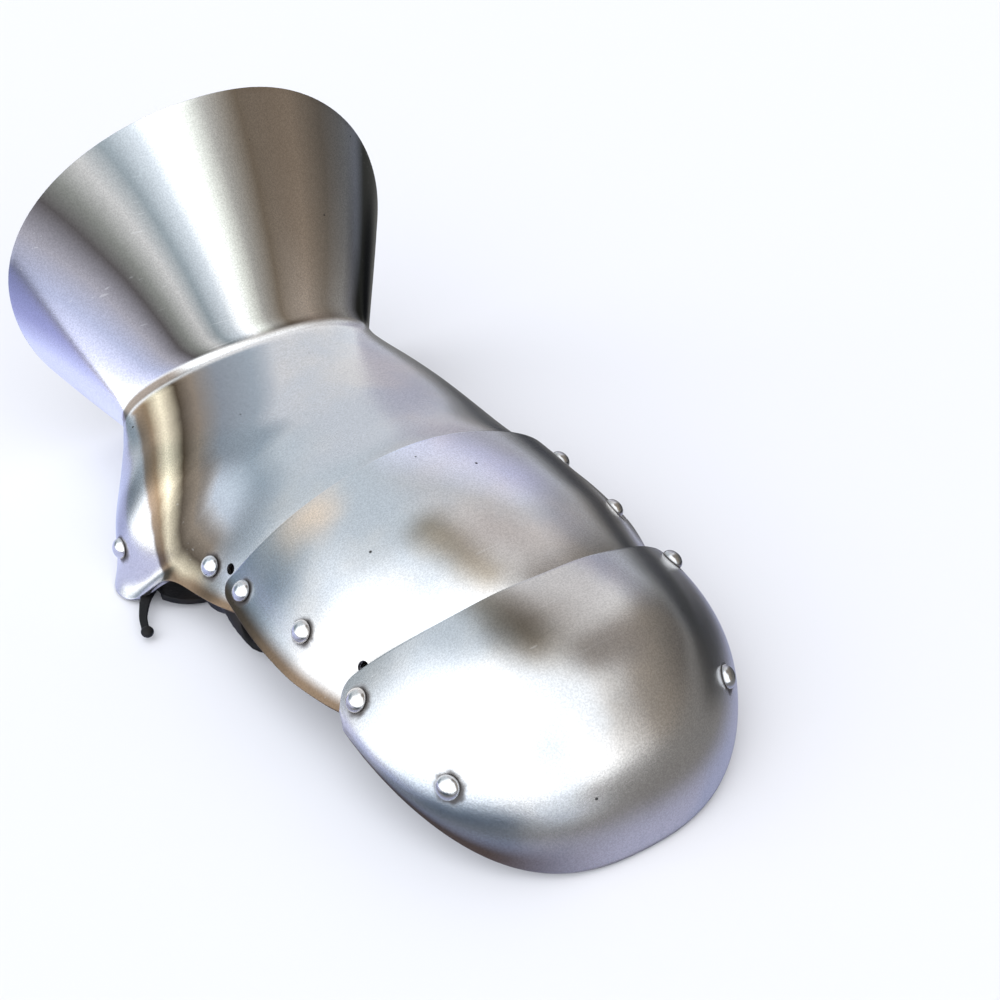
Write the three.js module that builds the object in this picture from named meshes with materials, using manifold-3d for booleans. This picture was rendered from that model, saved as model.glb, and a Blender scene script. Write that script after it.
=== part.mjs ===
// Mitten gauntlet for the left hand, in millimetres.
// +Z is up, the fingers point toward -Y, the open cuff toward +Y, and the thumb side is -X.
// It stands as it lies on a table: on the cuff's rim, the thumb side's corner and the fingertip rim.

import * as THREE from 'three';
import { mergeVertices } from 'three/addons/utils/BufferGeometryUtils.js';
import Module from 'manifold-3d';

const wasm = await Module();
wasm.setup();

// Steel and leather
const STEEL = 1.4;
const LEATHER = 2.2;
const GAP = 0.35;
const STRAP_GAP = 1.2;
const LIP_WIDTH = 9;

// Rivets
const HEAD_RADIUS = 3.3;
const HEAD_HEIGHT = 2.6;
const SHANK_RADIUS = 1.5;
const HOLE_RADIUS = 1.9;
const HINGE_HOLE_RADIUS = 3;
const HINGE_TAIL_RADIUS = 3.6;
const TAIL_HEIGHT = 0.9;
const RIVET_SIDES = 10;

// The middle of the built box, taken off every point so that the part stands on the origin
const CENTRE = { x: -9.84, y: 10 };

// Hand plate, one row for each section: its outer half widths toward the thumb and the little finger,
// the heights of its top, of its widest line and of its lowest line, how square it is, the heights
// at which the sheet ends on the two sides, and how far its lower edges turn out.
// The rows in front of y = 2 lie under the knuckle lame and fall away so that the lame can swing.
const HAND = [
  { y: -21, thumb: 55.6, little: 55, top: 45.6, mid: -12, low: -42, power: 2, thumbEnd: 38, littleEnd: 38, lip: 0 },
  { y: -12, thumb: 59.8, little: 58.9, top: 49.8, mid: -12, low: -42, power: 2, thumbEnd: 26, littleEnd: 26, lip: 0 },
  { y: -4, thumb: 62.3, little: 61.4, top: 52.4, mid: -12, low: -42, power: 2, thumbEnd: 18, littleEnd: 18.5, lip: 0 },
  { y: 6, thumb: 64.4, little: 63.2, top: 53.9, mid: -11.2, low: -40, power: 2, thumbEnd: 15.4, littleEnd: 16, lip: 0.6 },
  { y: 14, thumb: 65.1, little: 62.4, top: 52.8, mid: -10, low: -39, power: 2.05, thumbEnd: 14, littleEnd: 14.4, lip: 2.4 },
  { y: 25, thumb: 65.7, little: 61.1, top: 50.1, mid: -8.1, low: -37, power: 2.1, thumbEnd: 12.6, littleEnd: 12, lip: 3.4 },
  { y: 33.5, thumb: 68.6, little: 59.4, top: 49.5, mid: -5.3, low: -34, power: 2.15, thumbEnd: 13, littleEnd: 10.4, lip: 3.6 },
  { y: 38.5, thumb: 71.6, little: 58.2, top: 49.5, mid: -3.3, low: -31, power: 2.2, thumbEnd: 7, littleEnd: 9, lip: 3.8 },
  { y: 45.5, thumb: 76.2, little: 56.4, top: 49.5, mid: -0.6, low: -28, power: 2.25, thumbEnd: 0.9, littleEnd: 7, lip: 4 },
  { y: 50, thumb: 77.8, little: 55.2, top: 49.6, mid: 1.5, low: -26, power: 2.3, thumbEnd: 1, littleEnd: 5.4, lip: 4 },
  { y: 58, thumb: 77.2, little: 53, top: 49.2, mid: 5, low: -20, power: 2.35, thumbEnd: 1.2, littleEnd: 2.4, lip: 3 },
  { y: 65, thumb: 74.4, little: 50.6, top: 48.9, mid: 8, low: -14, power: 2.4, thumbEnd: 1.2, littleEnd: 1, lip: 1.6 },
  { y: 72, thumb: 70.3, little: 48.5, top: 48.5, mid: 11.1, low: -6, power: 2.4, thumbEnd: 1.6, littleEnd: 1.6, lip: 0.6 },
  { y: 82, thumb: 63.4, little: 41.6, top: 48.6, mid: 23.5, low: 1, power: 2.35, thumbEnd: 4.5, littleEnd: 4.5, lip: 0 },
];

// The crease where the wrist meets the cuff, and the cuff's rim. The cuff is straight between them.
const CREASE = {
  y: 92, shift: 0, lean: 0, thumb: 56.5, little: 34.6, top: 48.9, mid: 36.7, low: 7.8, power: 2.3,
  thumbEnd: 8.8, littleEnd: 8.8, lip: 0,
};
const RIM = {
  y: 128.9, shift: 6.4, lean: -5.7, thumb: 81.7, little: 55.8, top: 122, mid: 66.1, low: -0.9, power: 2.05,
  thumbEnd: 0.1, littleEnd: 0.1, lip: 0,
};
const CUFF_LENGTH = 80;
const CREASE_REACH = 6;

// Knuckle lame, in the same columns. It ends lower down the sides than the rows show,
// and its front falls away under the fingertip plate.
const LAME = [
  { y: 12, thumb: 66.7, little: 65.9, top: 56.9, mid: -12, end: 20.2, lip: 1.6 },
  { y: -8, thumb: 66.6, little: 65.8, top: 57, mid: -12, end: 19.6, lip: 2.2 },
  { y: -28, thumb: 65.2, little: 64.6, top: 56, mid: -12.2, end: 19, lip: 2 },
  { y: -44, thumb: 61.7, little: 61.2, top: 53.5, mid: -12.2, end: 18.8, lip: 1 },
  { y: -55, thumb: 58.8, little: 58.2, top: 51, mid: -12, end: 20.6, lip: 0 },
  { y: -64, thumb: 55, little: 54.4, top: 47.8, mid: -12, end: 25, lip: 0 },
  { y: -72, thumb: 50.8, little: 50.2, top: 43.6, mid: -12, end: 30, lip: 0 },
  { y: -78, thumb: 47.4, little: 46.8, top: 39.8, mid: -12, end: 33, lip: 0 },
];

// Fingertip plate: a bowl over the tips, turned a little toward the thumb.
const TIP = {
  x: 0.4, y: -50, turn: -4.3, halfWidth: 52.9, length: 63.4, top: 52.6,
  sideRim: 20.5, frontRim: 0.3, rimCurve: 2.4, square: 2.35,
  sideBulge: 2.03, sideFall: 0.7, frontBulge: 4, frontFall: 0.42, sag: -3.2,
  lip: 3.2, lipWidth: 10,
};

// Rear edges of the two moving plates: where they cross the middle, how they slant,
// how far and how suddenly the two corners reach back, and the corners' radius.
const LAME_REAR = {
  y: -0.8, slant: -0.05, span: 64, thumbReach: 13.5, thumbPower: 3, littleReach: 20, littlePower: 3.4, corner: 5,
};
const TIP_REAR = {
  y: -63.8, slant: 0.02, span: 53, thumbReach: 17, thumbPower: 2.3, littleReach: 17, littlePower: 2.3, corner: 6,
};

// Rivets through the plates: the side, the station along the hand and the height of each head.
// The hinge rivets turn with the outer plate and pass through a wide hole in the inner one.
const RIVETS = [
  { name: 'rivet_wrist', plate: 'hand', side: -1, y: 54.6, z: 14.4, holds: 'strap' },
  { name: 'rivet_palm_thumb', plate: 'hand', side: -1, y: 23.2, z: 20.9, holds: 'strap' },
  { name: 'rivet_palm_little', plate: 'hand', side: 1, y: 22.6, z: 21.5, holds: 'strap' },
  { name: 'rivet_knuckle_thumb', plate: 'lame', side: -1, y: 3.4, z: 25, holds: 'hinge' },
  { name: 'rivet_knuckle_little', plate: 'lame', side: 1, y: 3.4, z: 25, holds: 'hinge' },
  { name: 'rivet_finger_thumb', plate: 'lame', side: -1, y: -25.4, z: 29.6, holds: 'strap' },
  { name: 'rivet_finger_little', plate: 'lame', side: 1, y: -28, z: 26.6, holds: 'strap' },
  { name: 'rivet_tip_hinge_thumb', plate: 'tip', side: -1, y: -54, z: 27.8, holds: 'hinge' },
  { name: 'rivet_tip_hinge_little', plate: 'tip', side: 1, y: -57, z: 27.2, holds: 'hinge' },
  { name: 'rivet_tip_thumb', plate: 'tip', side: -1, y: -87.6, z: 23.9, holds: 'nothing' },
  { name: 'rivet_tip_little', plate: 'tip', side: 1, y: -98.4, z: 24, holds: 'nothing' },
];

// The wrist strap's far end is held by a plain pin, filed flush with the plate's outer face.
const STRAP_PIN = { name: 'wrist_strap_pin', plate: 'hand', side: 1, y: 47, z: 19, holds: 'strap', flush: true };

// Two empty rivet holes
const EMPTY_HOLES = [
  { plate: 'hand', side: -1, y: 15.4, z: 24, radius: 2 },
  { plate: 'lame', side: -1, y: -47.6, z: 31.2, radius: 1.9 },
];

// Straps, each a row of stations on its inner face with the width there. The first and last stations
// continue up the plate walls past the rivets named here.
const STRAPS = [
  {
    name: 'wrist_strap',
    plate: 'hand',
    from: 'rivet_wrist',
    to: 'wrist_strap_pin',
    endWidth: 15,
    path: [
      { x: -68.5, y: 54, z: 6.2, width: 15 },
      { x: -63, y: 49, z: 3.4, width: 24 },
      { x: -30, y: 47, z: 3.2, width: 24 },
      { x: 20, y: 46, z: 3.2, width: 24 },
      { x: 40, y: 46.5, z: 5, width: 22 },
      { x: 49, y: 47, z: 11, width: 19 },
    ],
  },
  {
    name: 'palm_strap',
    plate: 'hand',
    from: 'rivet_palm_thumb',
    to: 'rivet_palm_little',
    endWidth: 17,
    path: [
      { x: -58.6, y: 18, z: 12, width: 22 },
      { x: -56.6, y: 13, z: 6.4, width: 26 },
      { x: -48, y: 10, z: 3.6, width: 26 },
      { x: -20, y: 9, z: 3.2, width: 26 },
      { x: 20, y: 9, z: 3.2, width: 26 },
      { x: 46, y: 11, z: 4.2, width: 26 },
      { x: 54, y: 15, z: 8.6, width: 24 },
    ],
  },
  {
    name: 'finger_strap',
    plate: 'lame',
    from: 'rivet_finger_thumb',
    to: 'rivet_finger_little',
    endWidth: 15,
    path: [
      { x: -50, y: -27, z: 21.5, width: 18 },
      { x: -42, y: -28, z: 15.5, width: 20 },
      { x: -15, y: -28.5, z: 11, width: 20 },
      { x: 20, y: -29, z: 8.2, width: 20 },
      { x: 44, y: -29, z: 7.8, width: 20 },
      { x: 52.4, y: -29, z: 13, width: 19 },
    ],
  },
];

// Loose tail of the wrist strap, in one piece with it, lying out through the thumb notch
const STRAP_TAIL = [
  { x: -60, y: 49, z: 4, width: 6 },
  { x: -66.5, y: 45, z: 4.4, width: 6 },
  { x: -71, y: 40.5, z: 4.8, width: 5.4 },
  { x: -76, y: 36, z: 4.4, width: 4.4 },
  { x: -81.2, y: 32.6, z: 4, width: 5 },
];

const DEGREE = Math.PI / 180;
const vector = (x, y, z) => new THREE.Vector3(x, y, z);

// Smooth reading of a table of rows at any station between them, without overshoot.
function readRow(rows, at) {
  const sorted = [...rows].sort((a, b) => a.y - b.y);
  const place = THREE.MathUtils.clamp(at, sorted[0].y, sorted[sorted.length - 1].y);
  let first = 0;
  while (first < sorted.length - 2 && place > sorted[first + 1].y) {
    first += 1;
  }
  const slope = (row, column) => {
    const next = sorted[row + 1];
    return (next[column] - sorted[row][column]) / (next.y - sorted[row].y);
  };
  const slopeAt = (row, column) => {
    if (row === 0) {
      return slope(0, column);
    }
    if (row === sorted.length - 1) {
      return slope(row - 1, column);
    }
    const before = slope(row - 1, column);
    const after = slope(row, column);
    return before * after <= 0 ? 0 : (2 * before * after) / (before + after);
  };
  const from = sorted[first];
  const to = sorted[first + 1];
  const run = to.y - from.y;
  const t = (place - from.y) / run;
  const result = {};
  for (const column of Object.keys(from)) {
    const start = (1 + 2 * t) * (1 - t) ** 2 * from[column];
    const end = t * t * (3 - 2 * t) * to[column];
    const leave = t * (1 - t) ** 2 * run * slopeAt(first, column);
    const arrive = t * t * (t - 1) * run * slopeAt(first + 1, column);
    result[column] = start + end + leave + arrive;
  }
  result.y = place;
  return result;
}

function mixRows(first, second, share) {
  const result = {};
  for (const column of Object.keys(CREASE)) {
    result[column] = (first[column] ?? 0) * (1 - share) + (second[column] ?? 0) * share;
  }
  return result;
}

// Row of the hand plate at a distance along it: y up to the crease, then along the cuff's slant.
function handRow(station) {
  const sharpRow = (place) => {
    if (place <= CREASE.y) {
      return mixRows(readRow([...HAND, CREASE], place), CREASE, 0);
    }
    return mixRows(CREASE, RIM, (place - CREASE.y) / CUFF_LENGTH);
  };
  const offset = station - CREASE.y;
  if (Math.abs(offset) >= CREASE_REACH) {
    return sharpRow(station);
  }
  const before = sharpRow(CREASE.y - CREASE_REACH);
  const after = sharpRow(CREASE.y + CREASE_REACH);
  const share = (offset + CREASE_REACH) / (2 * CREASE_REACH);
  return mixRows(mixRows(before, CREASE, share), mixRows(CREASE, after, share), share);
}

function lameRow(station) {
  const row = readRow(LAME, station);
  return { ...row, y: station, shift: 0, lean: 0, low: row.mid - 30, power: 2, thumbEnd: row.end, littleEnd: row.end };
}

// Point of a section: angle 0 is the thumb side's widest line, 90 the top, 180 the little finger side.
function sectionPoint(row, angle) {
  const power = 2 / row.power;
  const across = Math.sign(Math.cos(angle)) * Math.abs(Math.cos(angle)) ** power;
  const up = Math.sign(Math.sin(angle)) * Math.abs(Math.sin(angle)) ** power;
  const x = row.shift - across * (across > 0 ? row.thumb : row.little);
  const z = row.mid + up * (up > 0 ? row.top - row.mid : row.mid - row.low);
  return vector(x, row.y + row.lean * (z - row.mid) / 50, z);
}

function angleAtHeight(row, height) {
  const above = height >= row.mid;
  const reach = above ? row.top - row.mid : row.mid - row.low;
  const share = THREE.MathUtils.clamp(Math.abs(height - row.mid) / reach, 0, 1);
  return (above ? 1 : -1) * Math.asin(share ** (row.power / 2));
}

// Points along one section from the thumb edge to the little finger edge, closer together at the lips.
function sectionLine(row, columns) {
  const from = angleAtHeight(row, row.thumbEnd);
  const to = Math.PI - angleAtHeight(row, row.littleEnd);
  const fine = [];
  for (let step = 0; step <= 240; step += 1) {
    fine.push(sectionPoint(row, from + (to - from) * step / 240));
  }
  const travelled = [0];
  for (let step = 1; step <= 240; step += 1) {
    travelled.push(travelled[step - 1] + fine[step].distanceTo(fine[step - 1]));
  }
  const total = travelled[240];
  const line = [];
  for (let column = 0; column <= columns; column += 1) {
    const lipSteps = 3;
    let wanted = LIP_WIDTH + (total - 2 * LIP_WIDTH) * (column - lipSteps) / (columns - 2 * lipSteps);
    if (column < lipSteps) {
      wanted = LIP_WIDTH * column / lipSteps;
    }
    if (column > columns - lipSteps) {
      wanted = total - LIP_WIDTH * (columns - column) / lipSteps;
    }
    let step = 1;
    while (step < 240 && travelled[step] < wanted) {
      step += 1;
    }
    const share = (wanted - travelled[step - 1]) / (travelled[step] - travelled[step - 1]);
    const point = fine[step - 1].clone().lerp(fine[step], share);
    const tangent = fine[step].clone().sub(fine[step - 1]).normalize();
    const outward = vector(-tangent.z, 0, tangent.x).multiplyScalar(1);
    const toEdge = Math.min(wanted, total - wanted);
    const turned = row.lip * Math.max(0, 1 - toEdge / LIP_WIDTH) ** 2;
    line.push(point.addScaledVector(outward, turned));
  }
  return line;
}

// Rear edge of a moving plate, as the station for a point at a given x, rounded at the corners.
function rearEdge(edge, x, fromCorner) {
  const reach = x < 0 ? edge.thumbReach : edge.littleReach;
  const power = x < 0 ? edge.thumbPower : edge.littlePower;
  const curve = edge.y + edge.slant * x + reach * Math.abs(x / edge.span) ** power;
  const left = Math.max(0, edge.corner - fromCorner);
  return curve - (edge.corner - Math.sqrt(edge.corner ** 2 - left ** 2));
}

function handGrid() {
  const stations = [-21, -16, -12, -8, -4, 1, 6, 10, 14, 19, 25, 30, 33.5, 36, 38.5, 42, 45.5, 50, 54, 58, 65, 72, 79];
  for (let step = 0; step <= 4; step += 1) {
    stations.push(CREASE.y - CREASE_REACH + step * CREASE_REACH / 2);
  }
  for (let step = 1; step <= 7; step += 1) {
    stations.push(CREASE.y + CREASE_REACH + step * (CUFF_LENGTH - CREASE_REACH) / 7);
  }
  return stations.map((station) => sectionLine(handRow(station), 26));
}

function lameGrid() {
  const columns = 24;
  const rows = 11;
  const grid = [];
  const nearby = sectionLine(lameRow(4), columns);
  const front = LAME[LAME.length - 1].y;
  for (let row = 0; row <= rows; row += 1) {
    const line = [];
    for (let column = 0; column <= columns; column += 1) {
      const fromCorner = Math.min(nearby[column].distanceTo(nearby[0]), nearby[column].distanceTo(nearby[columns]));
      const rear = rearEdge(LAME_REAR, nearby[column].x, fromCorner);
      const station = front + (rear - front) * row / rows;
      line.push(sectionLine(lameRow(station), columns)[column]);
    }
    grid.push(line);
  }
  return grid;
}

// Height of the fingertip plate over a point given in its own turned frame.
function tipHeight(x, y, bearing) {
  const across = Math.abs(x) / TIP.halfWidth;
  const along = Math.max(0, -y) / TIP.length;
  const out = Math.min((across ** TIP.square + along ** TIP.square) ** (1 / TIP.square), 0.99999);
  const frontal = Math.sin(bearing) ** 2;
  const bulge = TIP.sideBulge + (TIP.frontBulge - TIP.sideBulge) * frontal;
  const fall = TIP.sideFall + (TIP.frontFall - TIP.sideFall) * frontal;
  const rim = TIP.frontRim + (TIP.sideRim - TIP.frontRim) * Math.abs(Math.cos(bearing)) ** TIP.rimCurve;
  const dome = (1 - out ** bulge) ** fall;
  return rim + (TIP.top - rim) * dome - TIP.sag * out * (1 - out) * Math.sin(bearing);
}

// Bearing of a plan point as the rim's own angle: 0 at the thumb, 90 at the front, 180 at the little finger.
function tipBearing(x, y) {
  const across = Math.abs(x / TIP.halfWidth) ** (TIP.square / 2);
  const along = (Math.max(0, -y) / TIP.length) ** (TIP.square / 2);
  return Math.atan2(along, x < 0 ? across : -across);
}

function tipPoint(planX, planY) {
  const bearing = tipBearing(planX, planY);
  const point = vector(planX, planY, tipHeight(planX, planY, bearing));
  const across = Math.abs(planX) / TIP.halfWidth;
  const along = Math.max(0, -planY) / TIP.length;
  const out = (across ** TIP.square + along ** TIP.square) ** (1 / TIP.square);
  const rimDistance = Math.hypot(planX, Math.max(0, -planY)) * (1 / Math.max(out, 0.01) - 1);
  const turned = TIP.lip * Math.max(0, 1 - rimDistance / TIP.lipWidth) ** 2;
  const outward = vector(planX / TIP.halfWidth, Math.min(0, planY) / TIP.length, 0).normalize();
  point.addScaledVector(outward, turned);
  point.applyAxisAngle(vector(0, 0, 1), TIP.turn * DEGREE);
  return point.add(vector(TIP.x, TIP.y, 0));
}

function tipGrid() {
  const columns = 30;
  const shares = [0, 0.12, 0.25, 0.38, 0.5, 0.61, 0.71, 0.79, 0.86, 0.915, 0.96, 0.985, 1];
  const spread = (share) => Math.sign(share) * Math.abs(share) ** 0.9;
  return shares.map((share) => {
    const line = [];
    for (let column = 0; column <= columns; column += 1) {
      const turn = column / columns;
      const bearing = Math.PI * (0.03 + 0.94 * turn);
      const cosine = Math.cos(bearing);
      const sine = Math.sin(bearing);
      const rim = new THREE.Vector2(
        -TIP.halfWidth * Math.sign(cosine) * Math.abs(cosine) ** (2 / TIP.square),
        -TIP.length * sine ** (2 / TIP.square),
      );
      const x = TIP.halfWidth * 0.985 * spread(2 * turn - 1);
      const fromCorner = (TIP.halfWidth * 0.985 - Math.abs(x)) * 1.3;
      const rear = new THREE.Vector2(x, rearEdge(TIP_REAR, x, fromCorner) - TIP.y);
      const plan = rear.lerp(rim, share);
      line.push(tipPoint(plan.x, plan.y));
    }
    return line;
  });
}

// Closed sheet of even thickness under a grid of outer points.
function sheetSolid(grid, thickness) {
  const rows = grid.length;
  const columns = grid[0].length;
  const normalAt = (row, column) => {
    const along = grid[Math.min(row + 1, rows - 1)][column].clone().sub(grid[Math.max(row - 1, 0)][column]);
    const across = grid[row][Math.min(column + 1, columns - 1)].clone().sub(grid[row][Math.max(column - 1, 0)]);
    return across.cross(along).normalize();
  };
  const middle = normalAt(Math.floor(rows / 2), Math.floor(columns / 2));
  const facing = middle.z > 0 ? 1 : -1;
  const positions = [];
  for (const side of [0, thickness]) {
    for (let row = 0; row < rows; row += 1) {
      for (let column = 0; column < columns; column += 1) {
        const point = grid[row][column].clone().addScaledVector(normalAt(row, column), -facing * side);
        positions.push(point.x, point.y, point.z);
      }
    }
  }
  const faces = [];
  const outer = (row, column) => row * columns + column;
  const inner = (row, column) => rows * columns + outer(row, column);
  const quad = (a, b, c, d) => faces.push(a, b, c, a, c, d);
  for (let row = 0; row < rows - 1; row += 1) {
    for (let column = 0; column < columns - 1; column += 1) {
      quad(outer(row, column), outer(row, column + 1), outer(row + 1, column + 1), outer(row + 1, column));
      quad(inner(row + 1, column), inner(row + 1, column + 1), inner(row, column + 1), inner(row, column));
    }
    const last = columns - 1;
    quad(outer(row, 0), outer(row + 1, 0), inner(row + 1, 0), inner(row, 0));
    quad(outer(row + 1, last), outer(row, last), inner(row, last), inner(row + 1, last));
  }
  for (let column = 0; column < columns - 1; column += 1) {
    const last = rows - 1;
    quad(outer(0, column + 1), outer(0, column), inner(0, column), inner(0, column + 1));
    quad(outer(last, column), outer(last, column + 1), inner(last, column + 1), inner(last, column));
  }
  if (facing < 0) {
    for (let face = 0; face < faces.length; face += 3) {
      [faces[face], faces[face + 1]] = [faces[face + 1], faces[face]];
    }
  }
  return new wasm.Manifold(new wasm.Mesh({
    numProp: 3,
    vertProperties: new Float32Array(positions),
    triVerts: new Uint32Array(faces),
  }));
}

function toSolid(geometry) {
  const bare = geometry.clone();
  bare.deleteAttribute('normal');
  bare.deleteAttribute('uv');
  const merged = mergeVertices(bare, 1e-4);
  return new wasm.Manifold(new wasm.Mesh({
    numProp: 3,
    vertProperties: new Float32Array(merged.attributes.position.array),
    triVerts: new Uint32Array(merged.index.array),
  }));
}

function toGeometry(solid) {
  const mesh = solid.getMesh();
  const geometry = new THREE.BufferGeometry();
  geometry.setAttribute('position', new THREE.BufferAttribute(new Float32Array(mesh.vertProperties), 3));
  geometry.setIndex(new THREE.BufferAttribute(new Uint32Array(mesh.triVerts), 1));
  geometry.computeVertexNormals();
  return geometry;
}

// Outer surface of a named plate at a side, station and height, with its outward normal.
function wallPoint(plate, side, y, z) {
  if (plate !== 'tip') {
    const read = plate === 'hand' ? handRow : lameRow;
    const at = (station, height) => {
      const row = read(station);
      const angle = angleAtHeight(row, height);
      return sectionPoint(row, side < 0 ? angle : Math.PI - angle);
    };
    const point = at(y, z);
    const along = at(y + 1, z).sub(at(y - 1, z));
    const up = at(y, z + 1).sub(at(y, z - 1));
    const normal = along.cross(up).normalize();
    return { point, normal: normal.x * side > 0 ? normal : normal.negate() };
  }
  let best = { miss: Infinity };
  for (let x = 20; x < TIP.halfWidth; x += 0.1) {
    const turned = vector(side * x, y - TIP.y, 0).applyAxisAngle(vector(0, 0, 1), -TIP.turn * DEGREE);
    const point = tipPoint(turned.x, turned.y);
    const miss = Math.abs(point.z - z);
    if (miss < best.miss) {
      const ahead = tipPoint(turned.x, turned.y - 0.5).sub(tipPoint(turned.x, turned.y + 0.5));
      const beside = tipPoint(turned.x + 0.5, turned.y).sub(tipPoint(turned.x - 0.5, turned.y));
      const normal = ahead.cross(beside).normalize();
      best = { miss, point, normal: normal.z > 0 ? normal : normal.negate() };
    }
  }
  return best;
}

// Rod along a direction, used to drill the rivet holes.
function rod(centre, direction, radius, length) {
  const geometry = new THREE.CylinderGeometry(radius, radius, length, RIVET_SIDES);
  const turn = new THREE.Quaternion().setFromUnitVectors(vector(0, 1, 0), direction);
  geometry.applyQuaternion(turn);
  geometry.translate(centre.x, centre.y, centre.z);
  return toSolid(geometry);
}

// A lathed profile of radius and height turned to stand along a seat's normal
function turned(profile, seat) {
  const points = profile.map(([radius, height]) => new THREE.Vector2(radius, height));
  const geometry = new THREE.LatheGeometry(points, RIVET_SIDES);
  geometry.applyQuaternion(new THREE.Quaternion().setFromUnitVectors(vector(0, 1, 0), seat.normal));
  geometry.translate(seat.point.x, seat.point.y, seat.point.z);
  return toGeometry(toSolid(geometry));
}

// Domed head, straight shank and flat inner washer
function rivetGeometry(seat, shankLength, tailRadius) {
  return turned([
    [0, -shankLength - TAIL_HEIGHT],
    [tailRadius, -shankLength - TAIL_HEIGHT],
    [tailRadius, -shankLength],
    [SHANK_RADIUS, -shankLength],
    [SHANK_RADIUS, GAP],
    [HEAD_RADIUS, GAP],
    [HEAD_RADIUS * 0.92, GAP + HEAD_HEIGHT * 0.45],
    [HEAD_RADIUS * 0.62, GAP + HEAD_HEIGHT * 0.84],
    [0, GAP + HEAD_HEIGHT],
  ], seat);
}

// Headless pin, ending level with the plate's outer face
function pinGeometry(seat, shankLength) {
  return turned([
    [0, -shankLength - TAIL_HEIGHT],
    [2.9, -shankLength - TAIL_HEIGHT],
    [2.9, -shankLength],
    [SHANK_RADIUS, -shankLength],
    [SHANK_RADIUS, 0],
    [0, 0],
  ], seat);
}

const steel = (name, colour, roughness) => new THREE.MeshStandardMaterial({ name, color: colour, roughness, metalness: 1 });
const leather = (name) => new THREE.MeshStandardMaterial({ name, color: 0x17140f, roughness: 0.75, metalness: 0 });

const plates = {
  hand: sheetSolid(handGrid(), STEEL),
  lame: sheetSolid(lameGrid(), STEEL),
  tip: sheetSolid(tipGrid(), STEEL),
};
const group = new THREE.Group();
group.name = 'mitten_gauntlet';
const drill = (plate, tool) => {
  plates[plate] = plates[plate].subtract(tool);
};

const bothSides = new THREE.MeshBasicMaterial({ side: THREE.DoubleSide });
const surfaces = {};
for (const plate of Object.keys(plates)) {
  surfaces[plate] = new THREE.Mesh(toGeometry(plates[plate]), bothSides);
}

function distancesAlong(plate, origin, direction) {
  const caster = new THREE.Raycaster(origin, direction, 0, 24);
  return caster.intersectObject(surfaces[plate]).map((hit) => hit.distance);
}

// Plane under a rivet head: it rests on three points of the plate around the wanted place.
function headSeat(plate, wanted) {
  const beside = vector(0, 1, 0).cross(wanted.normal).normalize();
  const ahead = beside.clone().cross(wanted.normal).normalize();
  const feet = [0, 120, 240].map((bearing) => {
    const foot = wanted.point.clone();
    foot.addScaledVector(beside, HEAD_RADIUS * Math.cos(bearing * DEGREE));
    foot.addScaledVector(ahead, HEAD_RADIUS * Math.sin(bearing * DEGREE));
    foot.addScaledVector(wanted.normal, 10);
    const down = wanted.normal.clone().negate();
    return foot.addScaledVector(down, distancesAlong(plate, foot, down)[0]);
  });
  const point = feet[0].clone().add(feet[1]).add(feet[2]).divideScalar(3);
  const normal = feet[1].clone().sub(feet[0]).cross(feet[2].clone().sub(feet[0])).normalize();
  return { point, normal: normal.dot(wanted.normal) > 0 ? normal : normal.negate() };
}

const seats = {};
const inner = { lame: 'hand', tip: 'lame' };
const rivetMeshes = [];
for (const rivet of [...RIVETS, STRAP_PIN]) {
  const seat = headSeat(rivet.plate, wallPoint(rivet.plate, rivet.side, rivet.y, rivet.z));
  const inward = seat.normal.clone().negate();
  drill(rivet.plate, rod(seat.point, seat.normal, HOLE_RADIUS, 8));
  let depth = Math.max(...distancesAlong(rivet.plate, seat.point.clone().addScaledVector(seat.normal, 3), inward)) - 3;
  seat.wallDepth = depth;
  let tailRadius = 2.9;
  if (rivet.holds === 'strap') {
    depth += LEATHER + STRAP_GAP + GAP;
  }
  if (rivet.holds === 'hinge') {
    const hits = distancesAlong(inner[rivet.plate], seat.point, inward);
    depth = Math.max(...hits) + 1.2;
    tailRadius = HINGE_TAIL_RADIUS;
    const centre = seat.point.clone().addScaledVector(inward, (Math.min(...hits) + Math.max(...hits)) / 2);
    drill(inner[rivet.plate], rod(centre, seat.normal, HINGE_HOLE_RADIUS, 9));
    seat.pivot = centre;
  }
  seats[rivet.name] = seat;
  const shape = rivet.flush ? pinGeometry(seat, depth + GAP) : rivetGeometry(seat, depth + GAP, tailRadius);
  const mesh = new THREE.Mesh(shape, steel('polished_rivet', 0xd8d8dc, 0.2));
  mesh.name = rivet.name;
  rivetMeshes.push(mesh);
}
for (const hole of EMPTY_HOLES) {
  const wall = wallPoint(hole.plate, hole.side, hole.y, hole.z);
  drill(hole.plate, rod(wall.point, wall.normal, hole.radius, 8));
}

// Strap swept along a smooth path. Its width runs along Y, its inner face follows the stations,
// and where the plate wall is closer than its thickness it lies against that wall.
function strapSolid(stations, plate, steps) {
  const curve = new THREE.CatmullRomCurve3(stations.map((row) => vector(row.x, row.y, row.z)), false, 'centripetal');
  const grid = [];
  for (let step = 0; step <= steps; step += 1) {
    const place = step / steps * (stations.length - 1);
    const row = Math.min(Math.floor(place), stations.length - 2);
    const width = THREE.MathUtils.lerp(stations[row].width, stations[row + 1].width, place - row);
    const centre = curve.getPoint(step / steps);
    const tangent = curve.getTangent(step / steps);
    const outward = vector(tangent.z, 0, -tangent.x).normalize();
    grid.push([-0.5, -0.25, 0, 0.25, 0.5].map((share) => {
      const point = centre.clone().add(vector(0, width * share, 0));
      const from = point.clone().addScaledVector(outward, -8);
      const room = (distancesAlong(plate, from, outward)[0] ?? 24) - LEATHER - STRAP_GAP;
      return from.addScaledVector(outward, Math.min(8, room));
    }));
  }
  return sheetSolid(grid, LEATHER);
}

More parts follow.
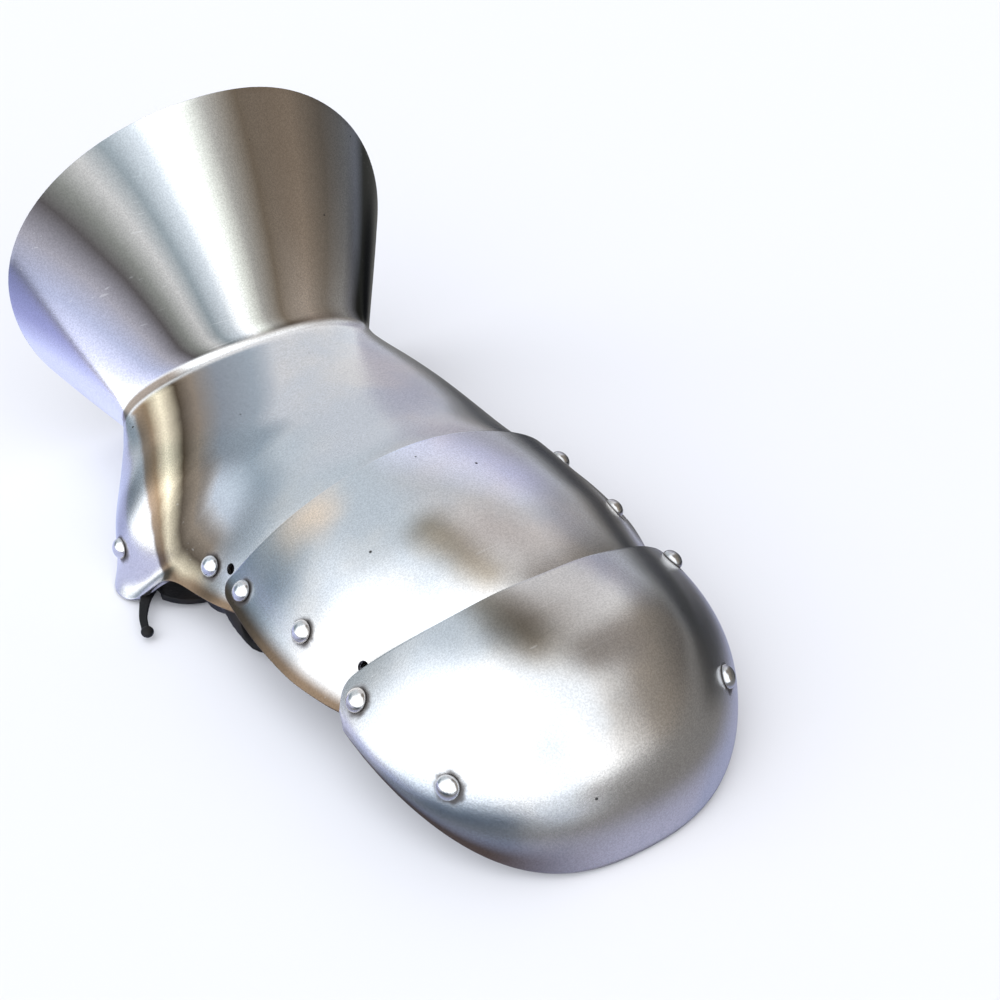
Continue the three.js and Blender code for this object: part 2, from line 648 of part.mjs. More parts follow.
// Strap stations over a rivet: three points on the strap's inner face, along the plate wall.
function strapEnd(name, width) {
  const seat = seats[name];
  const face = seat.point.clone().addScaledVector(seat.normal, -(seat.wallDepth + STRAP_GAP + LEATHER));
  const wallUp = vector(-seat.normal.z * Math.sign(seat.normal.x), 0, Math.abs(seat.normal.x)).normalize();
  return [6, 0, -4].map((along) => {
    const point = face.clone().addScaledVector(wallUp, along);
    return { x: point.x, y: point.y, z: point.z, width };
  });
}

const strapMeshes = STRAPS.map((strap) => {
  const stations = [
    ...strapEnd(strap.from, strap.endWidth),
    ...strap.path,
    ...strapEnd(strap.to, strap.endWidth).reverse(),
  ];
  let solid = strapSolid(stations, strap.plate, 21);
  if (strap.name === 'wrist_strap') {
    solid = solid.add(strapSolid(STRAP_TAIL, strap.plate, 10));
  }
  for (const end of [strap.from, strap.to]) {
    solid = solid.subtract(rod(seats[end].point, seats[end].normal, HOLE_RADIUS, 14));
  }
  const mesh = new THREE.Mesh(toGeometry(solid), leather('black_leather'));
  mesh.name = strap.name;
  return mesh;
});

const plateMesh = (name, solid, colour) => {
  const mesh = new THREE.Mesh(toGeometry(solid), steel('satin_steel', colour, 0.32));
  mesh.name = name;
  return mesh;
};
group.add(plateMesh('hand_plate', plates.hand, 0xb9b8bd));
group.add(plateMesh('knuckle_lame', plates.lame, 0xbcbabd));
group.add(plateMesh('finger_plate', plates.tip, 0xbcbcc1));
rivetMeshes.forEach((mesh) => group.add(mesh));
strapMeshes.forEach((mesh) => group.add(mesh));

for (const mesh of group.children) {
  mesh.geometry.translate(-CENTRE.x, -CENTRE.y, 0);
}

export default group;
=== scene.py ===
# %% [markdown]
# # Mitten gauntlet
# A left-hand steel gauntlet: a flared cuff and the back of the hand in one plate, a lame over the
# knuckles and a domed plate over the finger tips, joined by domed rivets, with leather straps
# underneath. The imported CAD part is loaded first. It stays as the frame that every piece is fitted
# to, and the finer pieces modelled below stand in for its plain solids.

# %% Load the frame
import math
import random

import bpy
import numpy as np
from mathutils import Matrix, Vector
from mathutils.bvhtree import BVHTree


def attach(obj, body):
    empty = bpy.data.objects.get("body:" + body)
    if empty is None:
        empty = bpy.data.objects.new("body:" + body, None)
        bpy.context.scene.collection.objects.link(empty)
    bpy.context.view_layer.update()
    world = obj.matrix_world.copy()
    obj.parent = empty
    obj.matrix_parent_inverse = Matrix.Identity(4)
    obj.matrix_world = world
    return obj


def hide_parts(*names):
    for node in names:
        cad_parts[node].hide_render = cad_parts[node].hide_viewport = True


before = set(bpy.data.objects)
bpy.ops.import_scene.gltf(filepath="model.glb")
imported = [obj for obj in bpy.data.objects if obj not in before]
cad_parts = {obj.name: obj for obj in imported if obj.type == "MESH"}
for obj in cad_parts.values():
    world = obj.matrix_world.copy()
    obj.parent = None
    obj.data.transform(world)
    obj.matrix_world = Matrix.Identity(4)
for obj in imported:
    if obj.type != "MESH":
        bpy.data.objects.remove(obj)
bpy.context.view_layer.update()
bpy.ops.object.select_all(action="DESELECT")
MM = 0.001

# %% [markdown]
# ## Camera
# The camera stands in front of the finger tips, to the thumb side and well above the gauntlet, as in
# the photograph. It is aimed by its line of sight, so that the framing stays the same.

# %% Camera
CAMERA_PLACE = Vector((-0.1288, -0.2578, 0.2564))
CAMERA_SIGHT = Vector((0.4432, 0.6516, -0.6157))
CAMERA_LENS = 43.2
bpy.ops.object.camera_add(location=CAMERA_PLACE)
camera = bpy.context.object
camera.name = "camera"
camera.rotation_euler = CAMERA_SIGHT.to_track_quat("-Z", "Y").to_euler()
camera.data.lens = CAMERA_LENS
camera.data.sensor_width = 36
camera.data.clip_start = 0.01
bpy.context.scene.camera = camera
print("camera height in mm:", round(camera.location.z / MM))

# %% [markdown]
# ## Floor and light
# Polished steel shows the room more than its own colour. The studio is a pale sweep of soft light
# all round, with a few broad darker and warmer areas in it, which give the plates their shading.
# They are part of the world's background: each is a soft patch round one direction.

# %% Small helpers for building node trees
def wire(tree, source, socket, target, entry):
    """Joins one node's output to another node's input."""
    tree.links.new(source.outputs[socket], target.inputs[entry])


def math_node(tree, operation, *values, clamp=False):
    """A math node whose inputs are numbers or (node, output) pairs."""
    node = tree.nodes.new("ShaderNodeMath")
    node.operation = operation
    node.use_clamp = clamp
    for index, value in enumerate(values):
        if isinstance(value, tuple):
            tree.links.new(value[0].outputs[value[1]], node.inputs[index])
        else:
            node.inputs[index].default_value = value
    return node


def fade_node(tree, value, start, end, amount=1.0):
    """A smooth fade from 0 at start to an amount at end."""
    node = tree.nodes.new("ShaderNodeMapRange")
    node.interpolation_type = "SMOOTHSTEP"
    node.inputs["From Min"].default_value = start
    node.inputs["From Max"].default_value = end
    node.inputs["To Max"].default_value = amount
    tree.links.new(value[0].outputs[value[1]], node.inputs["Value"])
    return node


def colour_mix(tree, factor, first, second, blend="MIX"):
    """Mixes two colours. Each is an (r, g, b) or a (node, output) pair."""
    node = tree.nodes.new("ShaderNodeMix")
    node.data_type = "RGBA"
    node.blend_type = blend
    if isinstance(factor, tuple):
        tree.links.new(factor[0].outputs[factor[1]], node.inputs[0])
    else:
        node.inputs[0].default_value = factor
    for value, entry in ((first, 6), (second, 7)):
        if len(value) == 3:
            node.inputs[entry].default_value = (*value, 1)
        else:
            tree.links.new(value[0].outputs[value[1]], node.inputs[entry])
    return node


# %% Floor
# Seen directly the floor is plain and pale. In the steel it shows as a lilac sheet with darker
# surroundings: each patch is a place in mm, a radius, a softness and a colour.
FLOOR_COLOUR = (0.70, 0.69, 0.72)
FLOOR_IN_STEEL = (0.20, 0.19, 0.18)
FLOOR_PATCHES = [
    ("lilac_left", (-400, 250), 400, 60, (0.56, 0.58, 0.82)),
    ("warm_left", (-420, -50), 130, 60, (0.42, 0.35, 0.29)),
    ("cool_front_left", (-330, -230), 130, 60, (0.16, 0.205, 0.245)),
    ("bright_front", (-280, -500), 190, 80, (0.95, 0.97, 1.0)),
    ("bright_near_front", (-110, -295), 70, 45, (0.95, 0.97, 1.0)),
    ("bright_lobe", (-40, -215), 34, 32, (0.62, 0.65, 0.70)),
    ("dark_front_left", (-145, -165), 64, 25, (0.05, 0.07, 0.10)),
    ("dark_beside", (250, 60), 140, 40, (0.03, 0.03, 0.035)),
    ("dark_right", (180, -90), 75, 30, (0.03, 0.03, 0.03)),
    ("lilac_under_fingers", (10, -52), 92, 20, (0.42, 0.43, 0.58)),
    ("lilac_under_hand", (-30, 60), 82, 22, (0.56, 0.58, 0.80)),
]
bpy.ops.mesh.primitive_plane_add(size=6, location=(0, 0, 0))
floor = bpy.context.object
floor.name = "studio_floor"
floor_paint = bpy.data.materials.new("pale_floor")
floor_paint.use_nodes = True
paint = floor_paint.node_tree
floor_place = paint.nodes.new("ShaderNodeTexCoord")
seen_colour = None
for name, (x, y), radius, softness, colour in FLOOR_PATCHES:
    away = paint.nodes.new("ShaderNodeVectorMath")
    away.operation = "DISTANCE"
    away.inputs[1].default_value = (x * MM, y * MM, 0)
    wire(paint, floor_place, "Object", away, 0)
    fade = fade_node(paint, (away, "Value"), (radius + softness) * MM, (radius - softness) * MM)
    mix = colour_mix(paint, (fade, "Result"), seen_colour or FLOOR_IN_STEEL, colour)
    seen_colour = (mix, "Result")
floor_rays = paint.nodes.new("ShaderNodeLightPath")
FLOOR_TWICE = (0.80, 0.80, 0.83)
floor_twice = math_node(paint, "GREATER_THAN", (floor_rays, "Glossy Depth"), 1.5)
seen_colour = (colour_mix(paint, (floor_twice, 0), seen_colour, FLOOR_TWICE), "Result")
floor_look = colour_mix(paint, (floor_rays, "Is Glossy Ray"), FLOOR_COLOUR, seen_colour)
floor_shader = paint.nodes["Principled BSDF"]
wire(paint, floor_look, "Result", floor_shader, "Base Color")
floor_shader.inputs["Roughness"].default_value = 0.9
floor_shader.inputs["Specular IOR Level"].default_value = 0.0
floor.data.materials.append(floor_paint)
print("floor patches:", len(FLOOR_PATCHES))

# %% World
# Each row: name, compass bearing the patch lies in (0 is +Y, 90 is +X), elevation, half width and
# softness in degrees, and colour. Later patches cover earlier ones.
OPEN_SKY = (2.25, 2.35, 2.45)
LIGHT_PATCHES = [
    ("grey_behind", 2, 34, 42, 14, (0.86, 0.94, 1.0)),
    ("grey_left", 322, 10, 18, 10, (0.33, 0.41, 0.47)),
    ("room_wall", 112, 10, 48, 12, (0.44, 0.385, 0.32)),
    ("room_top", 102, 58, 22, 12, (0.36, 0.32, 0.285)),
    ("lilac_right", 46, 18, 21, 11, (0.66, 0.65, 0.76)),
    ("grey_right", 38, 50, 20, 10, (0.86, 0.86, 0.88)),
    ("room_low", 95, -12, 38, 30, (0.13, 0.125, 0.12)),
]
world = bpy.data.worlds.new("studio")
bpy.context.scene.world = world
world.use_nodes = True
sky = world.node_tree
sky.nodes.clear()
sky_direction = sky.nodes.new("ShaderNodeTexCoord")
sky_colour = OPEN_SKY
for name, bearing, elevation, half_width, softness, colour in LIGHT_PATCHES:
    level = math.cos(math.radians(elevation))
    towards = (
        math.sin(math.radians(bearing)) * level,
        math.cos(math.radians(bearing)) * level,
        math.sin(math.radians(elevation)),
    )
    dot = sky.nodes.new("ShaderNodeVectorMath")
    dot.operation = "DOT_PRODUCT"
    dot.inputs[1].default_value = towards
    wire(sky, sky_direction, "Generated", dot, 0)
    angle = math_node(sky, "ARCCOSINE", (dot, "Value"))
    fade = fade_node(sky, (angle, 0), math.radians(half_width + softness), math.radians(half_width - softness))
    mix = colour_mix(sky, (fade, "Result"), sky_colour, colour)
    mix.name = name
    sky_colour = (mix, "Result")
# What the plates show of each other is lit evenly, and the background itself is plain.
sky_rays = sky.nodes.new("ShaderNodeLightPath")
EVEN_LIGHT = (1.95, 2.0, 2.05)
BACKDROP = (0.93, 0.93, 0.95)
twice = math_node(sky, "GREATER_THAN", (sky_rays, "Glossy Depth"), 1.5)
evened = colour_mix(sky, (twice, 0), sky_colour, EVEN_LIGHT)
backdrop = colour_mix(sky, (sky_rays, "Is Camera Ray"), (evened, "Result"), BACKDROP)
background = sky.nodes.new("ShaderNodeBackground")
wire(sky, backdrop, "Result", background, "Color")
sky_output = sky.nodes.new("ShaderNodeOutputWorld")
wire(sky, background, "Background", sky_output, "Surface")
bpy.context.scene.view_settings.view_transform = "Standard"
print("light patches:", len(LIGHT_PATCHES))

# %% [markdown]
# ## The plates
# A smith raises each plate from sheet over a stake. Its shape is read here as sections across the
# hand: a row for each station, with half widths, heights and how square the section is. A grid
# primitive is laid over those sections, so it has even quads, then Subdivision Surface smooths it,
# Solidify gives it the sheet's thickness and Bevel breaks the cut edges.

# %% Sizes shared by the plates
STEEL = 1.4
LIP_WIDTH = 9
CENTRE_X = -9.84
CENTRE_Y = 10.0
HAND_COLUMNS = ("y", "thumb", "little", "top", "mid", "low", "power", "thumb_end", "little_end", "lip")
HAND = [
    (-21, 55.6, 55, 45.6, -12, -42, 2, 38, 38, 0),
    (-12, 59.8, 58.9, 49.8, -12, -42, 2, 26, 26, 0),
    (-4, 62.3, 61.4, 52.4, -12, -42, 2, 18, 18.5, 0),
    (6, 64.4, 63.2, 53.3, -11.2, -40, 2, 15.4, 16, 0.6),
    (14, 65.1, 62.4, 52, -10, -39, 2.05, 14, 14.4, 2.4),
    (25, 65.7, 61.1, 50.5, -8.1, -37, 2.1, 12.6, 12, 3.4),
    (33.5, 68.6, 59.4, 49.9, -5.3, -34, 2.15, 13, 10.4, 3.6),
    (38.5, 71.6, 58.2, 49.7, -3.3, -31, 2.2, 7, 9, 3.8),
    (45.5, 76.2, 56.4, 49.4, -0.6, -28, 2.25, 0.9, 7, 4),
    (50, 77.8, 55.2, 49.2, 1.5, -26, 2.3, 1, 5.4, 4),
    (58, 77.2, 53, 49, 5, -20, 2.35, 1.2, 2.4, 3),
    (65, 74.4, 50.6, 48.9, 8, -14, 2.4, 1.2, 1, 1.6),
    (72, 70.3, 48.5, 48.8, 11.1, -6, 2.4, 1.6, 1.6, 0.6),
    (82, 63.4, 41.6, 48.8, 23.5, 1, 2.35, 4.5, 4.5, 0),
]
ROW_COLUMNS = HAND_COLUMNS + ("shift", "lean")
CREASE = (92, 56.5, 34.6, 48.9, 36.7, 7.8, 2.3, 8.8, 8.8, 0, 0, 0)
RIM = (128.9, 81.7, 55.8, 122, 66.1, -0.9, 2.05, 0.1, 0.1, 0, 6.4, -5.7)
CUFF_LENGTH = 80
CREASE_REACH = 6
LAME_COLUMNS = ("y", "thumb", "little", "top", "mid", "end", "lip")
LAME = [
    (-78, 47.4, 46.8, 39.8, -12, 33, 0),
    (-72, 50.8, 50.2, 43.6, -12, 30, 0),
    (-64, 55, 54.4, 47.8, -12, 25, 0),
    (-55, 58.8, 58.2, 51, -12, 20.6, 0),
    (-44, 61.7, 61.2, 53.5, -12.2, 18.8, 1),
    (-28, 65.2, 64.6, 56, -12.2, 19, 2),
    (-8, 66.6, 65.8, 57, -12, 19.6, 2.2),
    (12, 66.7, 65.9, 56.9, -12, 20.2, 1.6),
]
print("rows:", len(HAND), "for the hand plate,", len(LAME), "for the lame")


# %% Reading a table smoothly between its rows
def read_row(rows, columns, place):
    """Every column at one place between the rows, by a cubic that never overshoots them."""
    table = np.array(rows, float)
    at = table[:, 0]
    place = min(max(place, at[0]), at[-1])
    first = min(int(np.searchsorted(at, place, side="right")) - 1, len(at) - 2)
    first = max(first, 0)
    slopes = np.diff(table, axis=0) / np.diff(at)[:, None]

    def slope_at(row):
        if row == 0:
            return slopes[0]
        if row == len(at) - 1:
            return slopes[-1]
        before, after = slopes[row - 1], slopes[row]
        total = np.where(before + after == 0, 1, before + after)
        return np.where(before * after <= 0, 0, 2 * before * after / total)

    run = at[first + 1] - at[first]
    t = (place - at[first]) / run
    value = (1 + 2 * t) * (1 - t) ** 2 * table[first] + t * t * (3 - 2 * t) * table[first + 1]
    value += run * t * (1 - t) ** 2 * slope_at(first) + run * t * t * (t - 1) * slope_at(first + 1)
    value[0] = place
    return dict(zip(columns, value))


EVENED = ("thumb", "little", "top", "mid", "low", "power")
EVEN_REACH = 8
EVEN_SPREAD = 4.5


def even_row(rows, columns, place):
    """A row averaged over its neighbours, as hammering evens out a plate."""
    first, last = rows[0][0], rows[-1][0]
    row = read_row(rows, columns, place)
    total = dict.fromkeys(EVENED, 0.0)
    weights = 0
    for offset in np.linspace(-EVEN_REACH, EVEN_REACH, 9):
        weight = math.exp(-((offset / EVEN_SPREAD) ** 2) / 2)
        at = place + offset
        edge = min(max(at, first), last)
        near = read_row(rows, columns, 2 * edge - at)
        turning = read_row(rows, columns, edge)
        for name in EVENED:
            total[name] += weight * (near[name] if edge == at else 2 * turning[name] - near[name])
        weights += weight
    row.update({name: total[name] / weights for name in EVENED})
    return row


def hand_row(station):
    """The hand plate's section: at y up to the crease, then at a distance along the cuff's slant."""
    hand_rows = [row + (0, 0) for row in HAND] + [CREASE]
    crease = np.array(CREASE)
    rim = np.array(RIM)

    def sharp(place):
        if place <= crease[0]:
            return np.array(list(even_row(hand_rows, ROW_COLUMNS, place).values()))
        return crease + (rim - crease) * (place - crease[0]) / CUFF_LENGTH

    offset = station - crease[0]
    if abs(offset) >= CREASE_REACH:
        return dict(zip(ROW_COLUMNS, sharp(station)))
    share = (offset + CREASE_REACH) / (2 * CREASE_REACH)
    before = sharp(crease[0] - CREASE_REACH)
    after = sharp(crease[0] + CREASE_REACH)
    row = (1 - share) ** 2 * before + 2 * share * (1 - share) * crease + share ** 2 * after
    return dict(zip(ROW_COLUMNS, row))


def lame_row(station):
    """The knuckle lame's section, in the same columns as the hand plate's."""
    row = read_row(LAME, LAME_COLUMNS, station)
    row.update(y=station, power=2, low=row["mid"] - 30, thumb_end=row["end"], little_end=row["end"])
    row.update(shift=0, lean=0)
    return row


print("hand plate's top at the crease:", round(hand_row(92)["top"], 1))


# %% Points round one section
def section_points(row, angle):
    """Points at angles round a section: 0 is the thumb side, 90 degrees the top, 180 the other side."""
    power = 2 / row["power"]
    across = np.sign(np.cos(angle)) * np.abs(np.cos(angle)) ** power
    up = np.sign(np.sin(angle)) * np.abs(np.sin(angle)) ** power
    x = row["shift"] - across * np.where(across > 0, row["thumb"], row["little"])
    z = row["mid"] + up * np.where(up > 0, row["top"] - row["mid"], row["mid"] - row["low"])
    return np.stack([x, row["y"] + row["lean"] * (z - row["mid"]) / 50, z], -1)


def angle_at_height(row, height):
    """The angle at which a section reaches a height."""
    above = height >= row["mid"]
    reach = row["top"] - row["mid"] if above else row["mid"] - row["low"]
    share = min(abs(height - row["mid"]) / reach, 1)
    return (1 if above else -1) * math.asin(share ** (row["power"] / 2))


def section_line(row, columns):
    """Evenly spaced points from edge to edge of a section, closer at the lips, which turn outward."""
    start = angle_at_height(row, row["thumb_end"])
    end = math.pi - angle_at_height(row, row["little_end"])
    fine = section_points(row, np.linspace(start, end, 1200))
    travelled = np.concatenate([[0], np.cumsum(np.linalg.norm(np.diff(fine, axis=0), axis=1))])
    total = travelled[-1]
    lip_steps = 4
    lips = LIP_WIDTH * np.arange(lip_steps) / lip_steps
    middle = np.linspace(LIP_WIDTH, total - LIP_WIDTH, columns + 1 - 2 * lip_steps)
    wanted = np.concatenate([lips, middle, total - lips[::-1]])
    line = np.stack([np.interp(wanted, travelled, fine[:, k]) for k in range(3)], -1)
    tangent = np.gradient(fine, axis=0)
    along_x = np.interp(wanted, travelled, tangent[:, 0])
    along_z = np.interp(wanted, travelled, tangent[:, 2])
    length = np.hypot(along_x, along_z)
    to_edge = np.minimum(wanted, total - wanted)
    turned = row["lip"] * np.maximum(0, 1 - to_edge / LIP_WIDTH) ** 2
    line[:, 0] -= along_z / length * turned
    line[:, 2] += along_x / length * turned
    return line


print("cuff rim, round its edge, in mm:", round(float(np.linalg.norm(
    np.diff(section_line(hand_row(172), 60), axis=0), axis=1).sum())))


# %% A plate from its grid of outer points
def deselect():
    bpy.ops.object.select_all(action="DESELECT")


def make_active(piece):
    deselect()
    piece.select_set(True)
    bpy.context.view_layer.objects.active = piece


def apply_modifier(piece, kind, **settings):
    """Adds one modifier to a piece and applies it."""
    make_active(piece)
    modifier = piece.modifiers.new(kind.lower(), kind)
    for key, value in settings.items():
        setattr(modifier, key, value)
    bpy.ops.object.modifier_apply(modifier=modifier.name)


def smooth_sheet(name, points, levels):
    """Lays a grid primitive over rows of outer points, in mm, and subdivides it."""
    rows, columns = len(points), len(points[0])
    deselect()
    bpy.ops.mesh.primitive_grid_add(x_subdivisions=columns - 1, y_subdivisions=rows - 1, size=2)
    sheet = bpy.context.object
    sheet.name = name
    for vertex in sheet.data.vertices:
        column = round((vertex.co.x + 1) / 2 * (columns - 1))
        row = round((vertex.co.y + 1) / 2 * (rows - 1))
        x, y, z = points[row][column]
        vertex.co = ((x - CENTRE_X) * MM, (y - CENTRE_Y) * MM, z * MM)
    apply_modifier(sheet, "SUBSURF", levels=levels, render_levels=levels)
    middle = max(sheet.data.polygons, key=lambda face: face.center.z)
    if middle.normal.z < 0:
        sheet.data.flip_normals()
    return sheet


def hammer(sheet, depth, spacing):
    """Leaves the faint unevenness of hand work: a depth and a spacing in mm."""
    texture = bpy.data.textures.new(sheet.name + "_hammering", "CLOUDS")
    texture.noise_scale = spacing * MM
    texture.noise_depth = 0
    apply_modifier(sheet, "DISPLACE", texture=texture, strength=depth * MM, mid_level=0.5,
                   texture_coords="LOCAL")


def plate_from_sheet(sheet):
    """Gives a sheet the steel's thickness, inward, and rounds its cut edges."""
    apply_modifier(sheet, "SOLIDIFY", thickness=STEEL * MM, offset=-1, use_even_offset=True)
    apply_modifier(sheet, "BEVEL", width=0.32 * MM, segments=2, limit_method="ANGLE",
                   angle_limit=math.radians(55))
    make_active(sheet)
    bpy.ops.object.shade_smooth_by_angle(angle=math.radians(38))
    print(sheet.name, "faces:", len(sheet.data.polygons))


def outer_tree(sheet):
    """A search tree over a sheet, to seat rivets on it."""
    mesh = sheet.data
    return BVHTree.FromPolygons([v.co for v in mesh.vertices], [list(p.vertices) for p in mesh.polygons])


# %% [markdown]
# ### Hand plate
# One plate makes the cuff, the wrist and the back of the hand. At the wrist it is drawn in to a
# crease, and the cuff flares from there as a straight-sided cone. The near edge is cut away for the
# thumb, and both lower edges are turned out so that they don't bite.

# %% Hand plate
HAMMER_DEPTH = 0.22
HAMMER_SPACING = 26
HAND_ROWS_ON_HAND = 26
CREASE_ROWS = 6
CUFF_ROWS = 9
HAND_COLUMNS_ROUND = 48
hand_stations = list(np.linspace(-21, 92 - CREASE_REACH, HAND_ROWS_ON_HAND))
hand_stations += list(np.linspace(92 - CREASE_REACH, 92 + CREASE_REACH, CREASE_ROWS + 1))[1:]
hand_stations += list(np.linspace(92 + CREASE_REACH, 92 + CUFF_LENGTH, CUFF_ROWS))[1:]
hand_grid = [section_line(hand_row(station), HAND_COLUMNS_ROUND) for station in hand_stations]
hand_plate = smooth_sheet("hand_shell", hand_grid, 2)
hammer(hand_plate, HAMMER_DEPTH, HAMMER_SPACING)
hand_tree = outer_tree(hand_plate)
plate_from_sheet(hand_plate)


# %% [markdown]
# ### Knuckle lame and fingertip plate
# Both slide over the plate behind them, so their rear edges sweep back at the corners to carry the
# hinge rivets. The fingertip plate is a bowl that closes down to the front.

# %% Rear edges
LAME_REAR = dict(y=-0.8, slant=-0.05, span=64, thumb_reach=13.5, thumb_power=3,
                 little_reach=20, little_power=3.4, corner=5)
TIP_REAR = dict(y=-63.8, slant=0.02, span=53, thumb_reach=17, thumb_power=2.3,
                little_reach=17, little_power=2.3, corner=6)


def rear_edge(edge, x, from_corner):
    """Station of a plate's rear edge at a given x, rounded at the corners."""
    side = "thumb" if x < 0 else "little"
    curve = edge["y"] + edge["slant"] * x
    curve += edge[side + "_reach"] * abs(x / edge["span"]) ** edge[side + "_power"]
    left = max(0, edge["corner"] - from_corner)
    return curve - (edge["corner"] - math.sqrt(edge["corner"] ** 2 - left ** 2))


# %% Knuckle lame
LAME_COLUMNS_ROUND = 48
LAME_ROWS = 22
near_line = section_line(lame_row(4), LAME_COLUMNS_ROUND)
lame_grid = []
for step in range(LAME_ROWS + 1):
    line = []
    for column, point in enumerate(near_line):
        from_corner = min(np.linalg.norm(point - near_line[0]), np.linalg.norm(point - near_line[-1]))
        rear = rear_edge(LAME_REAR, point[0], from_corner)
        station = LAME[0][0] + (rear - LAME[0][0]) * step / LAME_ROWS
        line.append(section_line(lame_row(station), LAME_COLUMNS_ROUND)[column])
    lame_grid.append(line)
knuckle_lame = smooth_sheet("knuckle_shell", lame_grid, 2)
hammer(knuckle_lame, HAMMER_DEPTH, HAMMER_SPACING)
lame_tree = outer_tree(knuckle_lame)
plate_from_sheet(knuckle_lame)

# %% Fingertip plate
TIP = dict(x=0.4, y=-50, turn=-4.3, half_width=52.9, length=63.4, top=52.6, side_rim=20.5,
           front_rim=0.3, rim_curve=2.4, square=2.35, side_bulge=2.03, side_fall=0.7,
           front_bulge=4, front_fall=0.42, sag=-3.2, lip=3.2, lip_width=10)
TIP_COLUMNS = 56
TIP_ROWS = 26


def tip_point(x, y):
    """Point of the fingertip bowl over a plan point in its own turned frame."""
    across = abs(x) / TIP["half_width"]
    along = max(0, -y) / TIP["length"]
    square = TIP["square"]
    turn_across = across ** (square / 2)
    bearing = math.atan2(along ** (square / 2), turn_across if x < 0 else -turn_across)
    reach = (across ** square + along ** square) ** (1 / square)
    out = min(reach, 0.99999)
    frontal = math.sin(bearing) ** 2
    bulge = TIP["side_bulge"] + (TIP["front_bulge"] - TIP["side_bulge"]) * frontal
    fall = TIP["side_fall"] + (TIP["front_fall"] - TIP["side_fall"]) * frontal
    side_share = abs(math.cos(bearing)) ** TIP["rim_curve"]
    rim = TIP["front_rim"] + (TIP["side_rim"] - TIP["front_rim"]) * side_share
    z = rim + (TIP["top"] - rim) * (1 - out ** bulge) ** fall
    z -= TIP["sag"] * out * (1 - out) * math.sin(bearing)
    to_rim = math.hypot(x, max(0, -y)) * (1 / max(reach, 0.01) - 1)
    turned = TIP["lip"] * max(0, 1 - to_rim / TIP["lip_width"]) ** 2
    outward = Vector((x / TIP["half_width"], min(0, y) / TIP["length"], 0)).normalized()
    point = Vector((x, y, z)) + outward * turned
    point.rotate(Matrix.Rotation(math.radians(TIP["turn"]), 3, "Z"))
    return np.array(point) + (TIP["x"], TIP["y"], 0)


tip_shares = 1 - (1 - np.linspace(0, 1, TIP_ROWS + 1)) ** 1.7
tip_grid = []
for share in tip_shares:
    line = []
    for column in range(TIP_COLUMNS + 1):
        turn = column / TIP_COLUMNS
        bearing = math.pi * (0.03 + 0.94 * turn)
        rim_x = -TIP["half_width"] * math.copysign(abs(math.cos(bearing)) ** (2 / TIP["square"]), math.cos(bearing))
        rim_y = -TIP["length"] * math.sin(bearing) ** (2 / TIP["square"])
        spread = 2 * turn - 1
        x = TIP["half_width"] * 0.985 * math.copysign(abs(spread) ** 0.9, spread)
        from_corner = (TIP["half_width"] * 0.985 - abs(x)) * 1.3
        y = rear_edge(TIP_REAR, x, from_corner) - TIP["y"]
        line.append(tip_point(x + (rim_x - x) * share, y + (rim_y - y) * share))
    tip_grid.append(line)
finger_plate = smooth_sheet("finger_shell", tip_grid, 2)
hammer(finger_plate, HAMMER_DEPTH, HAMMER_SPACING)
tip_tree = outer_tree(finger_plate)
plate_from_sheet(finger_plate)

# %% [markdown]
# ## Rivets
# Each rivet is a soft steel pin hammered over a washer. The head is a low dome with a crisp foot,
# raised here from a circle by extruding and scaling one ring after another, then subdivided.

# %% Rivet seats
HEAD_RADIUS = 3.3
SURFACES = {"hand": hand_tree, "lame": lame_tree, "tip": tip_tree}
RIVETS = [
    ("rivet_wrist", "hand", -1, 54.6, 14.4, 4.8, 2.9),
    ("rivet_palm_thumb", "hand", -1, 23.2, 20.9, 4.8, 2.9),
    ("rivet_palm_little", "hand", 1, 22.6, 21.5, 4.8, 2.9),
    ("rivet_knuckle_thumb", "lame", -1, 3.4, 25, 5.3, 3.6),
    ("rivet_knuckle_little", "lame", 1, 3.4, 25, 5.3, 3.6),
    ("rivet_finger_thumb", "lame", -1, -25.4, 29.6, 4.8, 2.9),
    ("rivet_finger_little", "lame", 1, -28, 26.6, 4.8, 2.9),
    ("rivet_tip_hinge_thumb", "tip", -1, -54, 27.8, 5.3, 3.6),
    ("rivet_tip_hinge_little", "tip", 1, -57, 27.2, 5.3, 3.6),
    ("rivet_tip_thumb", "tip", -1, -87.6, 23.9, 1.6, 2.9),
    ("rivet_tip_little", "tip", 1, -98.4, 24, 1.6, 2.9),
]


def frame_point(x, y, z):
    """A drawing point in mm as a point of the frame in metres."""
    return Vector(((x - CENTRE_X) * MM, (y - CENTRE_Y) * MM, z * MM))


def seat_on(plate, side, y, z):
    """Middle and direction of a rivet head's seat: a plane through three points of the plate."""
    tree = SURFACES[plate]
    start = frame_point(side * 200, y, z)
    place, normal, _, _ = tree.ray_cast(start, Vector((-side, 0, 0)))
    if normal.x * side < 0:
        normal = -normal
    beside = normal.cross(Vector((0, 1, 0))).normalized()
    ahead = normal.cross(beside)
    feet = []
    for bearing in (0, 120, 240):
        turn = math.radians(bearing)
        above = place + (beside * math.cos(turn) + ahead * math.sin(turn)) * HEAD_RADIUS * MM + normal * 0.01
        feet.append(tree.ray_cast(above, -normal)[0])
    middle = (feet[0] + feet[1] + feet[2]) / 3
    direction = (feet[1] - feet[0]).cross(feet[2] - feet[0]).normalized()
    return middle, direction if direction.dot(normal) > 0 else -direction


seats = {name: seat_on(plate, side, y, z) for name, plate, side, y, z, _, _ in RIVETS}
print("rivet seats:", {name: [round(v / MM, 1) for v in seat[0]] for name, seat in seats.items()})


